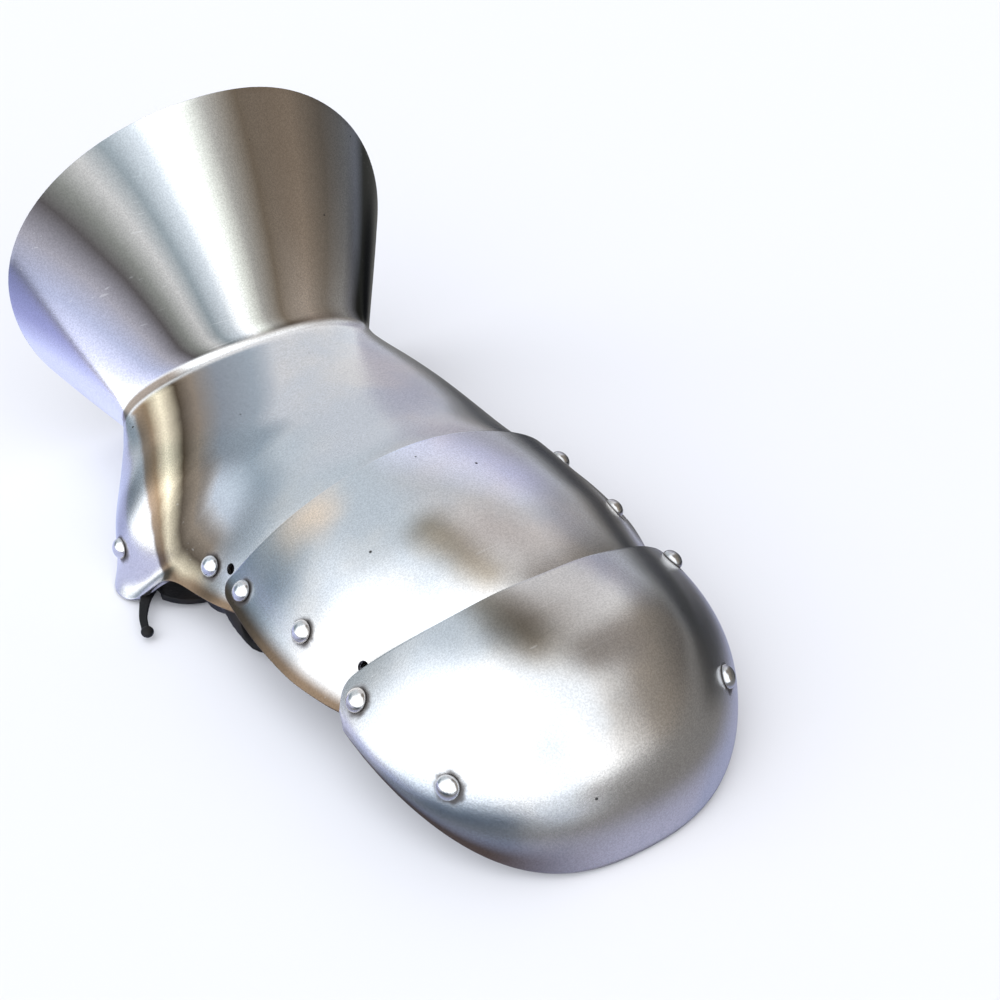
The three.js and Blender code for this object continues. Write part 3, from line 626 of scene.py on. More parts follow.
# %% A turned piece, ring by ring
def turned_piece(name, profile, vertices=24):
    """Raises a closed piece from a circle: each (radius, height) in mm is one more ring."""
    deselect()
    radius, height = profile[0]
    bpy.ops.mesh.primitive_circle_add(vertices=vertices, radius=radius * MM, fill_type="NGON",
                                      location=(0, 0, height * MM))
    piece = bpy.context.object
    piece.name = name
    bpy.ops.object.mode_set(mode="EDIT")
    bpy.ops.mesh.select_all(action="SELECT")
    for next_radius, next_height in profile[1:]:
        bpy.ops.mesh.extrude_region_move(TRANSFORM_OT_translate={"value": (0, 0, (next_height - height) * MM)})
        bpy.ops.transform.resize(value=(next_radius / radius,) * 2 + (1,))
        radius, height = next_radius, next_height
    bpy.ops.mesh.select_all(action="SELECT")
    bpy.ops.mesh.normals_make_consistent(inside=False)
    bpy.ops.object.mode_set(mode="OBJECT")
    bpy.ops.object.transform_apply(location=True, rotation=False, scale=False)
    return piece


def rivet_profile(shank, tail):
    """Washer, shank and domed head, from the inside of the hand outward."""
    return [
        (tail * 0.7, -shank - 0.9), (tail * 0.95, -shank - 0.9), (tail, -shank - 0.75), (tail, -shank - 0.1),
        (tail * 0.96, -shank), (1.55, -shank), (1.5, -shank + 0.15), (1.5, -0.25), (1.55, -0.1),
        (3.05, -0.1), (3.3, 0.0), (3.36, 0.35), (3.22, 0.95), (2.8, 1.65), (2.05, 2.25), (1.1, 2.62), (0.35, 2.72),
    ]


# %% Rivets on their seats
random.seed(7)
patterns = {}
rivets = {}
for name, plate, side, y, z, shank, tail in RIVETS:
    if (shank, tail) not in patterns:
        pattern = turned_piece("rivet_pattern", rivet_profile(shank, tail))
        apply_modifier(pattern, "SUBSURF", levels=2, render_levels=2)
        make_active(pattern)
        bpy.ops.object.shade_smooth()
        patterns[shank, tail] = pattern
    rivet = patterns[shank, tail].copy()
    rivet.data = rivet.data.copy()
    rivet.name = name.replace("rivet", "domed_rivet")
    bpy.context.collection.objects.link(rivet)
    middle, direction = seats[name]
    turn = direction.to_track_quat("Z", "Y").to_matrix().to_4x4()
    spin = Matrix.Rotation(random.uniform(0, 6.28), 4, "Z")
    sit = Matrix.Diagonal((1, 1, random.uniform(0.93, 1.03), 1))
    rivet.data.transform(Matrix.Translation(middle) @ turn @ spin @ sit)
    rivets[name] = rivet
for pattern in patterns.values():
    bpy.data.objects.remove(pattern, do_unlink=True)
print("rivets:", len(rivets))

# %% [markdown]
# ### Strap pin and empty holes
# The wrist strap's far end is held by a pin filed flush with the plate, with a washer inside. Two
# holes beside the rivets are empty: the smith moved a rivet and left the old hole. Each is bored by
# taking a cylinder away from the plate.

# %% Strap pin
PIN = ("wrist_strap_pin", "hand", 1, 47, 19, 4.8, 2.9)
pin_seat = seat_on(*PIN[1:5])
PIN_PROFILE = [
    (2.0, -5.7), (2.75, -5.7), (2.9, -5.55), (2.9, -4.9), (2.8, -4.8), (1.55, -4.8), (1.5, -4.65),
    (1.5, -0.1), (1.46, 0.1), (1.1, 0.2), (0.35, 0.24),
]
strap_pin = turned_piece("flush_strap_pin", PIN_PROFILE)
turn = pin_seat[1].to_track_quat("Z", "Y").to_matrix().to_4x4()
strap_pin.data.transform(Matrix.Translation(pin_seat[0]) @ turn)
apply_modifier(strap_pin, "SUBSURF", levels=1, render_levels=1)
make_active(strap_pin)
bpy.ops.object.shade_smooth()
seats["wrist_strap_pin"] = pin_seat

# %% Empty holes
HOLES = [
    ("moved_rivet_hole", hand_plate, "hand", -1, 15.4, 24, 1.7),
    ("spare_hinge_hole", knuckle_lame, "lame", -1, -47.6, 31.2, 1.7),
]
for name, piece, plate, side, y, z, radius in HOLES:
    middle, direction = seat_on(plate, side, y, z)
    deselect()
    turned = direction.to_track_quat("Z", "Y").to_euler()
    bpy.ops.mesh.primitive_cylinder_add(vertices=32, radius=radius * MM, depth=9 * MM, location=middle,
                                        rotation=turned)
    cutter = bpy.context.object
    faces_before = len(piece.data.polygons)
    apply_modifier(piece, "BOOLEAN", object=cutter, operation="DIFFERENCE", solver="EXACT")
    bpy.data.objects.remove(cutter, do_unlink=True)
    make_active(piece)
    bpy.ops.object.shade_smooth_by_angle(angle=math.radians(38))
    print(name, "faces before and after:", faces_before, len(piece.data.polygons))

# %% [markdown]
# ## Leather straps
# Three straps cross under the hand, and each is riveted to the walls inside the plates. A strap is cut
# from one thickness of hide, pressed flat, and sags a little between its rivets. Each is a grid strip
# laid along its path and kept clear of the wall, then Solidify gives it the hide's thickness, Bevel
# rounds the cut edges and Subdivision Surface softens it.

# %% Strap sizes
LEATHER = 2.2
STRAP_GAP = 1.2
STRAPS = [
    ("wrist_strap", "hand", "rivet_wrist", "wrist_strap_pin", 15, [
        (-68.5, 53, 6.2, 17), (-65, 47.5, 3.6, 32), (-54, 46, 3.0, 33), (-30, 47, 3.0, 28),
        (20, 46, 3.1, 24), (40, 46.5, 5, 22), (49, 47, 11, 19)]),
    ("palm_strap", "hand", "rivet_palm_thumb", "rivet_palm_little", 17, [
        (-58.6, 18, 12, 22), (-56.6, 12, 6.0, 27), (-48, 9.5, 3.4, 28), (-20, 9, 3.1, 27),
        (20, 9, 3.1, 26), (46, 11, 4.2, 26), (54, 15, 8.6, 24)]),
    ("finger_strap", "lame", "rivet_finger_thumb", "rivet_finger_little", 15, [
        (-50, -27, 21.5, 18), (-42, -28, 15.5, 20), (-15, -28.5, 11, 20), (20, -29, 8.2, 20),
        (44, -29, 7.8, 20), (52.4, -29, 13, 19)]),
]
STRAP_ROWS = 56
STRAP_COLUMNS = 8


# %% A strap along its path
def strap_end(name, width):
    """Rows of a strap's end against the wall at a rivet, from its tip down."""
    middle, direction = seats[name]
    upward = Vector((0, 1, 0)).cross(direction).normalized()
    upward = upward if upward.z > 0 else -upward
    inside = middle - direction * (STEEL + STRAP_GAP + LEATHER) * MM
    return [(*(inside + upward * step * MM), width * MM) for step in (6, 0, -4)]


def even_rows(rows, count, passes):
    """Places rows evenly along a path and rounds its corners."""
    rows = np.array(rows)
    travelled = np.concatenate([[0], np.cumsum(np.linalg.norm(np.diff(rows[:, :3], axis=0), axis=1))])
    wanted = np.linspace(0, travelled[-1], count)
    line = np.stack([np.interp(wanted, travelled, rows[:, k]) for k in range(rows.shape[1])], -1)
    for _ in range(passes):
        line[1:-1] = (line[:-2] + 2 * line[1:-1] + line[2:]) / 4
    return line


def leather_strip(name, rows, across, tree=None):
    """A strip of hide: rows of x, y, z and width in metres, kept inside a plate's wall."""
    deselect()
    bpy.ops.mesh.primitive_grid_add(x_subdivisions=STRAP_COLUMNS, y_subdivisions=len(rows) - 1, size=2)
    strip = bpy.context.object
    strip.name = name
    tangents = np.gradient(rows[:, :3], axis=0)
    for vertex in strip.data.vertices:
        row = round((vertex.co.y + 1) / 2 * (len(rows) - 1))
        offset = vertex.co.x / 2
        tangent = Vector(tangents[row]).normalized()
        sideways = (across - tangent * across.dot(tangent)).normalized()
        place = Vector(rows[row][:3]) + sideways * offset * rows[row][3]
        if tree:
            nearest, normal, _, away = tree.find_nearest(place)
            depth = (place - nearest).dot(normal)
            limit = -(STEEL + STRAP_GAP / 2 + LEATHER) * MM
            if away < 15 * MM and depth > limit:
                place -= normal * (depth - limit)
        vertex.co = place
    strip.data.update()
    lowest = min(strip.data.polygons, key=lambda face: face.center.z)
    if lowest.normal.z > 0:
        strip.data.flip_normals()
    return strip


def finish_leather(strip, thickness):
    """Thickness, rounded edges and a soft surface."""
    apply_modifier(strip, "SOLIDIFY", thickness=thickness * MM, offset=1)
    apply_modifier(strip, "BEVEL", width=0.45 * MM, segments=2, limit_method="ANGLE",
                   angle_limit=math.radians(55))
    apply_modifier(strip, "SUBSURF", levels=1, render_levels=1)
    make_active(strip)
    bpy.ops.object.shade_smooth()


straps = {}
for name, plate, start, end, end_width, path in STRAPS:
    rows = strap_end(start, end_width)
    rows += [(*frame_point(x, y, z), width * MM) for x, y, z, width in path]
    rows += strap_end(end, end_width)[::-1]
    strap = leather_strip(name + "_leather", even_rows(rows, STRAP_ROWS, 5), Vector((0, 1, 0)), SURFACES[plate])
    finish_leather(strap, LEATHER)
    straps[name] = strap
    print(strap.name, "size in mm:", [round(v / MM) for v in strap.dimensions])

# %% Free end of the wrist strap
# A thong cut from the strap's corner hangs out at the thumb notch and ends in a knot.
THONG = [(-66, 50, 4.2, 9), (-72, 44.5, 4.6, 5), (-76, 39, 4.6, 3.2), (-79.2, 33, 3.6, 2.4),
         (-80.2, 28, 2.8, 2.3)]
KNOT = (-80.1, 26.8, 3.0)
thong_rows = even_rows([(*frame_point(x, y, z), width * MM) for x, y, z, width in THONG], 24, 3)
thong = leather_strip("thong", thong_rows, Vector((0.75, -0.6, 0)))
finish_leather(thong, 1.2)
deselect()
bpy.ops.mesh.primitive_ico_sphere_add(subdivisions=3, radius=1, location=frame_point(*KNOT))
knot = bpy.context.object
knot.scale = (1.9 * MM, 2.2 * MM, 1.5 * MM)
bpy.ops.object.transform_apply(location=True, rotation=True, scale=True)
bpy.ops.object.shade_smooth()
deselect()
for part in (thong, knot, straps["wrist_strap"]):
    part.select_set(True)
bpy.context.view_layer.objects.active = straps["wrist_strap"]
bpy.ops.object.join()
print("wrist strap faces:", len(straps["wrist_strap"].data.polygons))

# %% [markdown]
# ## Finishes
# The plates are mild steel rubbed down with abrasive to a satin, so they show fine grain, stray
# scratches, a few pits and soft warm and cool areas. Painted shade darkens the seams, the corners and
# rings round the rivet heads, and a painted brown reflection lies in the turned lips. The streaks on
# the cuff, the ridge, the crease's bright line and many soft patches are painted reflections and
# highlights. The effects that several finishes share are node groups, which put out masks and heights only.

# %% Building blocks for the finishes
def new_group(name, entries, results):
    """An empty node group with named sockets, each given as a (name, kind) pair."""
    group = bpy.data.node_groups.new(name, "ShaderNodeTree")
    for label, kind in entries:
        group.interface.new_socket(label, in_out="INPUT", socket_type=kind)
    for label, kind in results:
        group.interface.new_socket(label, in_out="OUTPUT", socket_type=kind)
    return group, group.nodes.new("NodeGroupInput"), group.nodes.new("NodeGroupOutput")


def use_group(tree, group, vector):
    """Places a node group in a tree and feeds it its vector."""
    node = tree.nodes.new("ShaderNodeGroup")
    node.node_tree = group
    tree.links.new(vector[0].outputs[vector[1]], node.inputs["Vector"])
    return node


def noise_node(tree, vector, scale, detail=2, stretch=(1, 1, 1), turn=(0, 0, 0)):
    """Noise on a vector that is first turned, in degrees, and stretched."""
    mapping = tree.nodes.new("ShaderNodeMapping")
    mapping.inputs["Rotation"].default_value = [math.radians(angle) for angle in turn]
    mapping.inputs["Scale"].default_value = stretch
    tree.links.new(vector[0].outputs[vector[1]], mapping.inputs["Vector"])
    noise = tree.nodes.new("ShaderNodeTexNoise")
    noise.inputs["Scale"].default_value = scale
    noise.inputs["Detail"].default_value = detail
    wire(tree, mapping, "Vector", noise, "Vector")
    return noise


# %% Satin grain
grain_group, grain_in, grain_out = new_group(
    "satin_grain", [("Vector", "NodeSocketVector")],
    [("Height", "NodeSocketFloat"), ("Speckle", "NodeSocketFloat")])
fine = noise_node(grain_group, (grain_in, "Vector"), 2100, detail=2)
rubbed = noise_node(grain_group, (grain_in, "Vector"), 900, stretch=(1, 0.1, 1), turn=(0, 0, 12))
height = math_node(grain_group, "ADD", (fine, "Fac"), (rubbed, "Fac"))
wire(grain_group, height, 0, grain_out, "Height")
speck = fade_node(grain_group, (fine, "Fac"), 0.32, 0.68, 0.2)
speckle = math_node(grain_group, "ADD", (speck, "Result"), 0.88)
wire(grain_group, speckle, 0, grain_out, "Speckle")

# %% Wear: scratches, pits and soft mottling
wear_group, wear_in, wear_out = new_group(
    "steel_wear", [("Vector", "NodeSocketVector")],
    [("Scratch", "NodeSocketFloat"), ("Pit", "NodeSocketFloat"), ("Mottle", "NodeSocketFloat")])
SCRATCH_SETS = [
    ("along", (12, 0, 38), 640),
    ("across", (0, 15, -49), 760),
]
scratches = None
for name, turn, scale in SCRATCH_SETS:
    lines = noise_node(wear_group, (wear_in, "Vector"), scale, 1, stretch=(0.035, 1, 1), turn=turn)
    line = fade_node(wear_group, (lines, "Fac"), 0.735, 0.78)
    if scratches is None:
        scratches = (line, "Result")
    else:
        scratches = (math_node(wear_group, "MAXIMUM", scratches, (line, "Result")), 0)
worn_areas = noise_node(wear_group, (wear_in, "Vector"), 34, 2)
worn = fade_node(wear_group, (worn_areas, "Fac"), 0.42, 0.56)
broken = math_node(wear_group, "MULTIPLY", scratches, (worn, "Result"))
wire(wear_group, broken, 0, wear_out, "Scratch")
cells = wear_group.nodes.new("ShaderNodeTexVoronoi")
cells.inputs["Scale"].default_value = 150
wire(wear_group, wear_in, "Vector", cells, "Vector")
dot = fade_node(wear_group, (cells, "Distance"), 0.085, 0.045)
cell_pick = wear_group.nodes.new("ShaderNodeSeparateColor")
wire(wear_group, cells, "Color", cell_pick, "Color")
picked = fade_node(wear_group, (cell_pick, "Red"), 0.86, 0.9)
pit = math_node(wear_group, "MULTIPLY", (dot, "Result"), (picked, "Result"))
wire(wear_group, pit, 0, wear_out, "Pit")
mottle = noise_node(wear_group, (wear_in, "Vector"), 27, 4)
wire(wear_group, mottle, "Fac", wear_out, "Mottle")


# %% Steel finishes
COOL_STEEL = (0.56, 0.58, 0.61)
WARM_STEEL = (0.64, 0.62, 0.605)
# Painted shade in corners, seams and round the rivet heads.
CORNER_SHADE = (0.07, 0.06, 0.055)
PIT_COLOUR = (0.05, 0.045, 0.045)
# Painted brown reflection in the turned lips and along the fingertip plate's rim.
LIP_REFLECTION = (0.15, 0.105, 0.07)
RING_INNER = 3.3
RING_OUTER = 5.1
RING_SHIFT = Vector((0.45, -0.35, -0.35))


def new_material(name):
    """A material with its node tree, its shader and its Texture Coordinate node."""
    material = bpy.data.materials.new(name)
    material.use_nodes = True
    tree = material.node_tree
    return material, tree, tree.nodes["Principled BSDF"], tree.nodes.new("ShaderNodeTexCoord")


def corner_shade_mask(tree, reach):
    """Painted shade held in corners: 0 on open steel, 1 deep in a seam."""
    corner = tree.nodes.new("ShaderNodeAmbientOcclusion")
    corner.samples = 8
    corner.inputs["Distance"].default_value = reach * MM
    return fade_node(tree, (corner, "AO"), 0.93, 0.45)


def rivet_shade_rings(tree, place, middles):
    """Painted shade in a ring round each rivet head, a little heavier below it."""
    nearest = None
    for middle in middles:
        away = tree.nodes.new("ShaderNodeVectorMath")
        away.operation = "DISTANCE"
        away.inputs[1].default_value = middle + RING_SHIFT * MM
        wire(tree, place, "Object", away, 0)
        if nearest is None:
            nearest = (away, "Value")
        else:
            nearest = (math_node(tree, "MINIMUM", nearest, (away, "Value")), 0)
    ragged = noise_node(tree, (place, "Object"), 420, 3)
    spread = math_node(tree, "MULTIPLY_ADD", (ragged, "Fac"), -2.2 * MM, nearest)
    return fade_node(tree, (spread, 0), (RING_OUTER - 1.1) * MM, (RING_INNER - 1.1) * MM)


def steel_finish(name, middles, paint, roughness):
    """Satin steel with grain and wear, painted reflections and highlights laid on by paint, and painted shade in
    corners and round rivet heads.
    """
    material, tree, shader, place = new_material(name)
    grain = use_group(tree, grain_group, (place, "Object"))
    wear = use_group(tree, wear_group, (place, "Object"))
    warmth = fade_node(tree, (wear, "Mottle"), 0.36, 0.64)
    colour = colour_mix(tree, (warmth, "Result"), COOL_STEEL, WARM_STEEL)
    colour = paint(tree, place, (colour, "Result"))
    colour = (colour_mix(tree, 1.0, colour, (grain, "Speckle"), "MULTIPLY"), "Result")
    bright = math_node(tree, "MULTIPLY", (wear, "Scratch"), 0.08)
    colour = (colour_mix(tree, (bright, 0), colour, (0.85, 0.85, 0.86)), "Result")
    colour = (colour_mix(tree, (wear, "Pit"), colour, PIT_COLOUR), "Result")
    # Painted shade in corners and seams and round the rivet heads darkens the colour and roughens it.
    corners = corner_shade_mask(tree, 3.5)
    painted_shade = (corners, "Result")
    if middles:
        rings = rivet_shade_rings(tree, place, middles)
        painted_shade = (math_node(tree, "MAXIMUM", painted_shade, (rings, "Result")), 0)
    shade_share = math_node(tree, "MULTIPLY", painted_shade, 0.9)
    colour = (colour_mix(tree, (shade_share, 0), colour, CORNER_SHADE), "Result")
    tree.links.new(colour[0].outputs[colour[1]], shader.inputs["Base Color"])
    shader.inputs["Metallic"].default_value = 1
    uneven = math_node(tree, "MULTIPLY_ADD", (wear, "Mottle"), 0.1, roughness - 0.05)
    dulled = math_node(tree, "MULTIPLY_ADD", painted_shade, 0.25, (uneven, 0), clamp=True)
    wire(tree, dulled, 0, shader, "Roughness")
    scored = math_node(tree, "MULTIPLY_ADD", (wear, "Scratch"), -0.8, (grain, "Height"))
    pitted = math_node(tree, "MULTIPLY_ADD", (wear, "Pit"), -3.0, (scored, 0))
    bump = tree.nodes.new("ShaderNodeBump")
    bump.inputs["Strength"].default_value = 1.0
    bump.inputs["Distance"].default_value = 0.008 * MM
    wire(tree, pitted, 0, bump, "Height")
    wire(tree, bump, "Normal", shader, "Normal")
    return material


# %% Painted reflections, highlights and shade on each plate
def plate_map(tree, place):
    """Where a point lies on its plate: u round the section from the thumb side, v along the plate."""
    parts = tree.nodes.new("ShaderNodeSeparateXYZ")
    wire(tree, place, "UV", parts, "Vector")
    return (parts, "X"), (parts, "Y")


def bands_node(tree, value, bands):
    """A colour that changes with a value: rows of name, place and colour."""
    ramp = tree.nodes.new("ShaderNodeValToRGB")
    stops = ramp.color_ramp.elements
    first, last = bands[0], bands[-1]
    stops[0].position = first[1]
    stops[0].color = (*first[2], 1)
    stops[1].position = last[1]
    stops[1].color = (*last[2], 1)
    for name, spot, colour in bands[1:-1]:
        stops.new(spot).color = (*colour, 1)
    tree.links.new(value[0].outputs[value[1]], ramp.inputs["Fac"])
    return ramp


def product(tree, *values):
    """Several masks multiplied together."""
    result = values[0]
    for value in values[1:]:
        result = (math_node(tree, "MULTIPLY", result, value), 0)
    return result


# Bands round the cuff, as name, place round it and colour: painted reflections of the room as dark and light
# streaks, with a painted highlight at the brightest band.
CUFF_REFLECTIONS = [
    ("thumb_edge", 0.24, (0.92, 0.92, 0.90)),
    ("thumb_flank", 0.28, (0.88, 0.88, 0.94)),
    ("flank_end", 0.31, (0.43, 0.43, 0.55)),
    ("lilac", 0.345, (0.23, 0.24, 0.32)),
    ("blue", 0.375, (0.18, 0.17, 0.19)),
    ("dark_streak", 0.402, (0.045, 0.04, 0.04)),
    ("streak_end", 0.42, (0.11, 0.11, 0.10)),
    ("light_streak", 0.442, (0.28, 0.27, 0.26)),
    ("cool_streak", 0.462, (0.14, 0.16, 0.17)),
    ("clearing", 0.485, (0.37, 0.39, 0.41)),
    ("painted_highlight", 0.504, (0.84, 0.84, 0.84)),
    ("highlight_end", 0.52, (0.62, 0.63, 0.58)),
    ("warm_edge", 0.54, (0.28, 0.27, 0.25)),
    ("warm_dark", 0.566, (0.16, 0.13, 0.10)),
    ("warm_light", 0.61, (0.47, 0.41, 0.36)),
    ("brown", 0.64, (0.36, 0.34, 0.32)),
    ("grey", 0.668, (0.56, 0.60, 0.66)),
    ("cool_end", 0.684, (0.42, 0.46, 0.56)),
    ("little_flank", 0.70, (0.06, 0.065, 0.06)),
]
CUFF_DRIFT = 0.2
RIDGE_ZERO = 0.1
# The ridge from the crease to the thumb notch is painted: bronze painted reflections either side of a painted
# highlight, a dark painted reflection beyond it, then plain steel.
RIDGE_REFLECTIONS = [
    ("thumb_wall", 0.040, (0.58, 0.58, 0.60)),
    ("bronze_edge", 0.052, (0.30, 0.22, 0.16)),
    ("bronze", 0.072, (0.28, 0.19, 0.115)),
    ("ridge_highlight", 0.096, (0.90, 0.79, 0.58)),
    ("brown_hollow", 0.128, (0.065, 0.046, 0.028)),
    ("brown", 0.156, (0.25, 0.20, 0.155)),
    ("cool_grey", 0.20, (0.25, 0.27, 0.30)),
    ("grey", 0.26, (0.33, 0.37, 0.41)),
    ("open_steel", 0.31, (0.58, 0.59, 0.61)),
]
RIDGE_LINE = [
    (0.27, 0.026), (0.31, 0.036), (0.335, 0.058), (0.353, 0.107), (0.368, 0.158), (0.387, 0.206),
    (0.411, 0.242), (0.443, 0.264), (0.487, 0.281), (0.544, 0.296), (0.60, 0.325), (0.64, 0.346),
]
# A painted highlight along the wrist crease, and painted shade at its thumb end.
CREASE_HIGHLIGHT = (0.95, 0.95, 0.94)
CREASE_SHADE = (0.20, 0.165, 0.14)
PLAIN_IN_REFLECTION = (0.50, 0.505, 0.52)


def ridge_place(tree, u, v):
    """Distance in u from the painted ridge that runs from the crease to the thumb notch, and its mask."""
    line = bands_node(tree, v, [("ridge", along, (across,) * 3) for along, across in RIDGE_LINE])
    off = math_node(tree, "SUBTRACT", u, (line, "Color"))
    beyond = math_node(tree, "MAXIMUM", (off, 0), 0.0)
    short = math_node(tree, "MINIMUM", (off, 0), 0.0)
    widening = fade_node(tree, v, 0.42, 0.35, 0.5)
    spread = math_node(tree, "ADD", (widening, "Result"), 1.0)
    beyond = math_node(tree, "DIVIDE", (beyond, 0), (spread, 0))
    off = math_node(tree, "ADD", (beyond, 0), (short, 0))
    off = math_node(tree, "ADD", (off, 0), RIDGE_ZERO)
    sides = product(
        tree,
        (fade_node(tree, (off, 0), 0.038, 0.052), "Result"),
        (fade_node(tree, (off, 0), 0.32, 0.28), "Result"),
        (fade_node(tree, v, 0.20, 0.29), "Result"),
        (fade_node(tree, v, 0.675, 0.65), "Result"),
    )
    return (off, 0), sides


def streak_mask(tree, place, start, end, radius, softness):
    """1 within a radius of a line between two points, in mm, fading out over the softness."""
    start = Vector(start) * MM
    run = Vector(end) * MM - start
    away = tree.nodes.new("ShaderNodeVectorMath")
    away.operation = "SUBTRACT"
    away.inputs[1].default_value = start
    wire(tree, place, "Object", away, 0)
    along = tree.nodes.new("ShaderNodeVectorMath")
    along.operation = "DOT_PRODUCT"
    along.inputs[1].default_value = run / max(run.length_squared, 1e-9)
    wire(tree, away, "Vector", along, 0)
    share = math_node(tree, "ADD", (along, "Value"), 0.0, clamp=True)
    foot = tree.nodes.new("ShaderNodeVectorMath")
    foot.operation = "SCALE"
    foot.inputs[0].default_value = run
    wire(tree, share, 0, foot, "Scale")
    gap = tree.nodes.new("ShaderNodeVectorMath")
    gap.operation = "DISTANCE"
    wire(tree, away, "Vector", gap, 0)
    wire(tree, foot, "Vector", gap, 1)
    ragged = noise_node(tree, (place, "Object"), 60, 3)
    uneven = math_node(tree, "MULTIPLY_ADD", (ragged, "Fac"), 5.0 * MM, -2.5 * MM)
    reach = math_node(tree, "ADD", (gap, "Value"), (uneven, 0))
    return fade_node(tree, (reach, 0), (radius + softness) * MM, max(radius - softness, 0) * MM)


# Patches on each plate: name, start and end of a line in mm, radius, softness and tint. They are painted
# reflections, painted highlights and painted shade, except the hand's smudge by the empty hole.
PAINTED_LIGHT_AND_SMUDGE = {
    "hand": [
        ("hole_smudge", (-54, 4, 24), (-55, 9, 26), 2.5, 2, (0.25, 0.22, 0.22)),
        ("thumb_wall", (-73, 48, 18), (-71, 49, 22), 6, 5, (0.55, 0.57, 0.70)),
        ("wall_shade", (-70, 49, 25), (-64, 50, 33), 6, 5, (0.30, 0.28, 0.34)),
    ],
    "lame": [
        ("dark_streak", (-5, -43, 54), (-1, -63, 52), 3, 8, (0.50, 0.44, 0.36)),
        ("brown_right", (8, -52, 51), (20, -59, 47), 8, 9, (0.84, 0.79, 0.77)),
        ("lilac_top", (9, -12, 56), (25, -36, 50), 8, 9, (1.4, 1.4, 1.6)),
        ("warm_spot", (-34, -10, 48), (-27, -13, 51), 7, 7, (1.5, 1.15, 0.85)),
        ("cool_left", (-51, 5, 32), (-51, -14, 32), 12, 9, (0.66, 0.73, 0.80)),
    ],
    "tip": [
        ("dark_streak", (-8, -72, 53), (-5, -90, 50), 3, 8, (0.42, 0.38, 0.33)),
        ("brown_sweep", (-3, -88, 50), (3, -106, 34), 9, 9, (0.46, 0.42, 0.37)),
        ("grey_sweep", (-12, -107, 33), (-6, -111, 26), 4, 6, (0.55, 0.57, 0.57)),
        ("cool_corner", (-41, -57, 37), (-44, -62, 34), 4, 5, (0.55, 0.62, 0.68)),
        ("dark_right", (11, -114, 19), (8, -115, 16), 6, 6, (0.50, 0.47, 0.43)),
        ("blue_front", (-47, -87, 20), (-27, -109, 15), 5, 6, (0.62, 0.70, 0.80)),
    ],
}


def lay_painted_light_and_smudge(tree, place, colour, plate):
    """Lays the plate's darker and warmer patches over its colour: painted reflections, highlights and shade, and a
    smudge by the hand's empty hole.
    """
    for name, start, end, radius, softness, tint in PAINTED_LIGHT_AND_SMUDGE[plate]:
        mask = streak_mask(tree, place, start, end, radius, softness)
        colour = (colour_mix(tree, (mask, "Result"), colour, tint, "MULTIPLY"), "Result")
    return colour


def paint_hand(tree, place, colour):
    """Painted reflections, highlights and shade of the hand plate: bands along the cuff, the ridge, the crease and
    the lip.
    """
    u, v = plate_map(tree, place)
    waver = noise_node(tree, (place, "Object"), 22, 2)
    shift = math_node(tree, "MULTIPLY_ADD", (waver, "Fac"), 0.008, -0.004)
    u = (math_node(tree, "ADD", u, (shift, 0)), 0)
    # The ridge's bands are painted reflections and a painted highlight.
    off, beside = ridge_place(tree, u, v)
    ridge = bands_node(tree, off, RIDGE_REFLECTIONS)
    # Towards the front the bands near the ridge are darkened further with painted shade.
    ahead = fade_node(tree, v, 0.44, 0.37, 0.62)
    beside_ridge = fade_node(tree, off, 0.20, 0.165)
    dimming = math_node(tree, "MULTIPLY", (ahead, "Result"), (beside_ridge, "Result"))
    dimmed = colour_mix(tree, (dimming, 0), (ridge, "Color"), (0.04, 0.035, 0.03))
    colour = (colour_mix(tree, beside, colour, (dimmed, "Result")), "Result")
    # The cuff's streaks are painted reflections, slanting a little along the cuff.
    drift = math_node(tree, "MULTIPLY_ADD", v, CUFF_DRIFT, -0.9 * CUFF_DRIFT)
    along = math_node(tree, "ADD", u, (drift, 0))
    streaks = bands_node(tree, (along, 0), CUFF_REFLECTIONS)
    on_cuff = fade_node(tree, v, 0.705, 0.73)
    colour = (colour_mix(tree, (on_cuff, "Result"), colour, (streaks, "Color")), "Result")
    # A painted highlight along the crease, and painted shade at its thumb end.
    crease = product(
        tree,
        (fade_node(tree, v, 0.675, 0.69), "Result"),
        (fade_node(tree, v, 0.725, 0.705), "Result"),
        (fade_node(tree, u, 0.66, 0.60), "Result"),
        (fade_node(tree, u, 0.36, 0.46), "Result"),
    )
    colour = (colour_mix(tree, crease, colour, CREASE_HIGHLIGHT), "Result")
    shaded = product(
        tree,
        (fade_node(tree, v, 0.665, 0.68), "Result"),
        (fade_node(tree, v, 0.725, 0.705), "Result"),
        (fade_node(tree, u, 0.44, 0.38), "Result"),
        (fade_node(tree, u, 0.24, 0.30), "Result"),
    )
    colour = (colour_mix(tree, shaded, colour, CREASE_SHADE), "Result")
    # Painted brown reflection in the turned lip towards the front.
    lip = fade_node(tree, u, 0.05, 0.012)
    front = fade_node(tree, v, 0.33, 0.27)
    brown_reflection = math_node(tree, "MULTIPLY", (lip, "Result"), (front, "Result"))
    colour = (colour_mix(tree, (brown_reflection, 0), colour, LIP_REFLECTION), "Result")
    colour = lay_painted_light_and_smudge(tree, place, colour, "hand")
    # In the other plates' reflections the hand plate shows as plain steel, without its painted reflections.
    rays = tree.nodes.new("ShaderNodeLightPath")
    return (colour_mix(tree, (rays, "Is Glossy Ray"), colour, PLAIN_IN_REFLECTION), "Result")


def paint_lame(tree, place, colour):
    """Painted brown reflection in the knuckle lame's turned lip, then the lame's patches."""
    u, v = plate_map(tree, place)
    lip = fade_node(tree, u, 0.06, 0.012)
    colour = (colour_mix(tree, (lip, "Result"), colour, LIP_REFLECTION), "Result")
    return lay_painted_light_and_smudge(tree, place, colour, "lame")


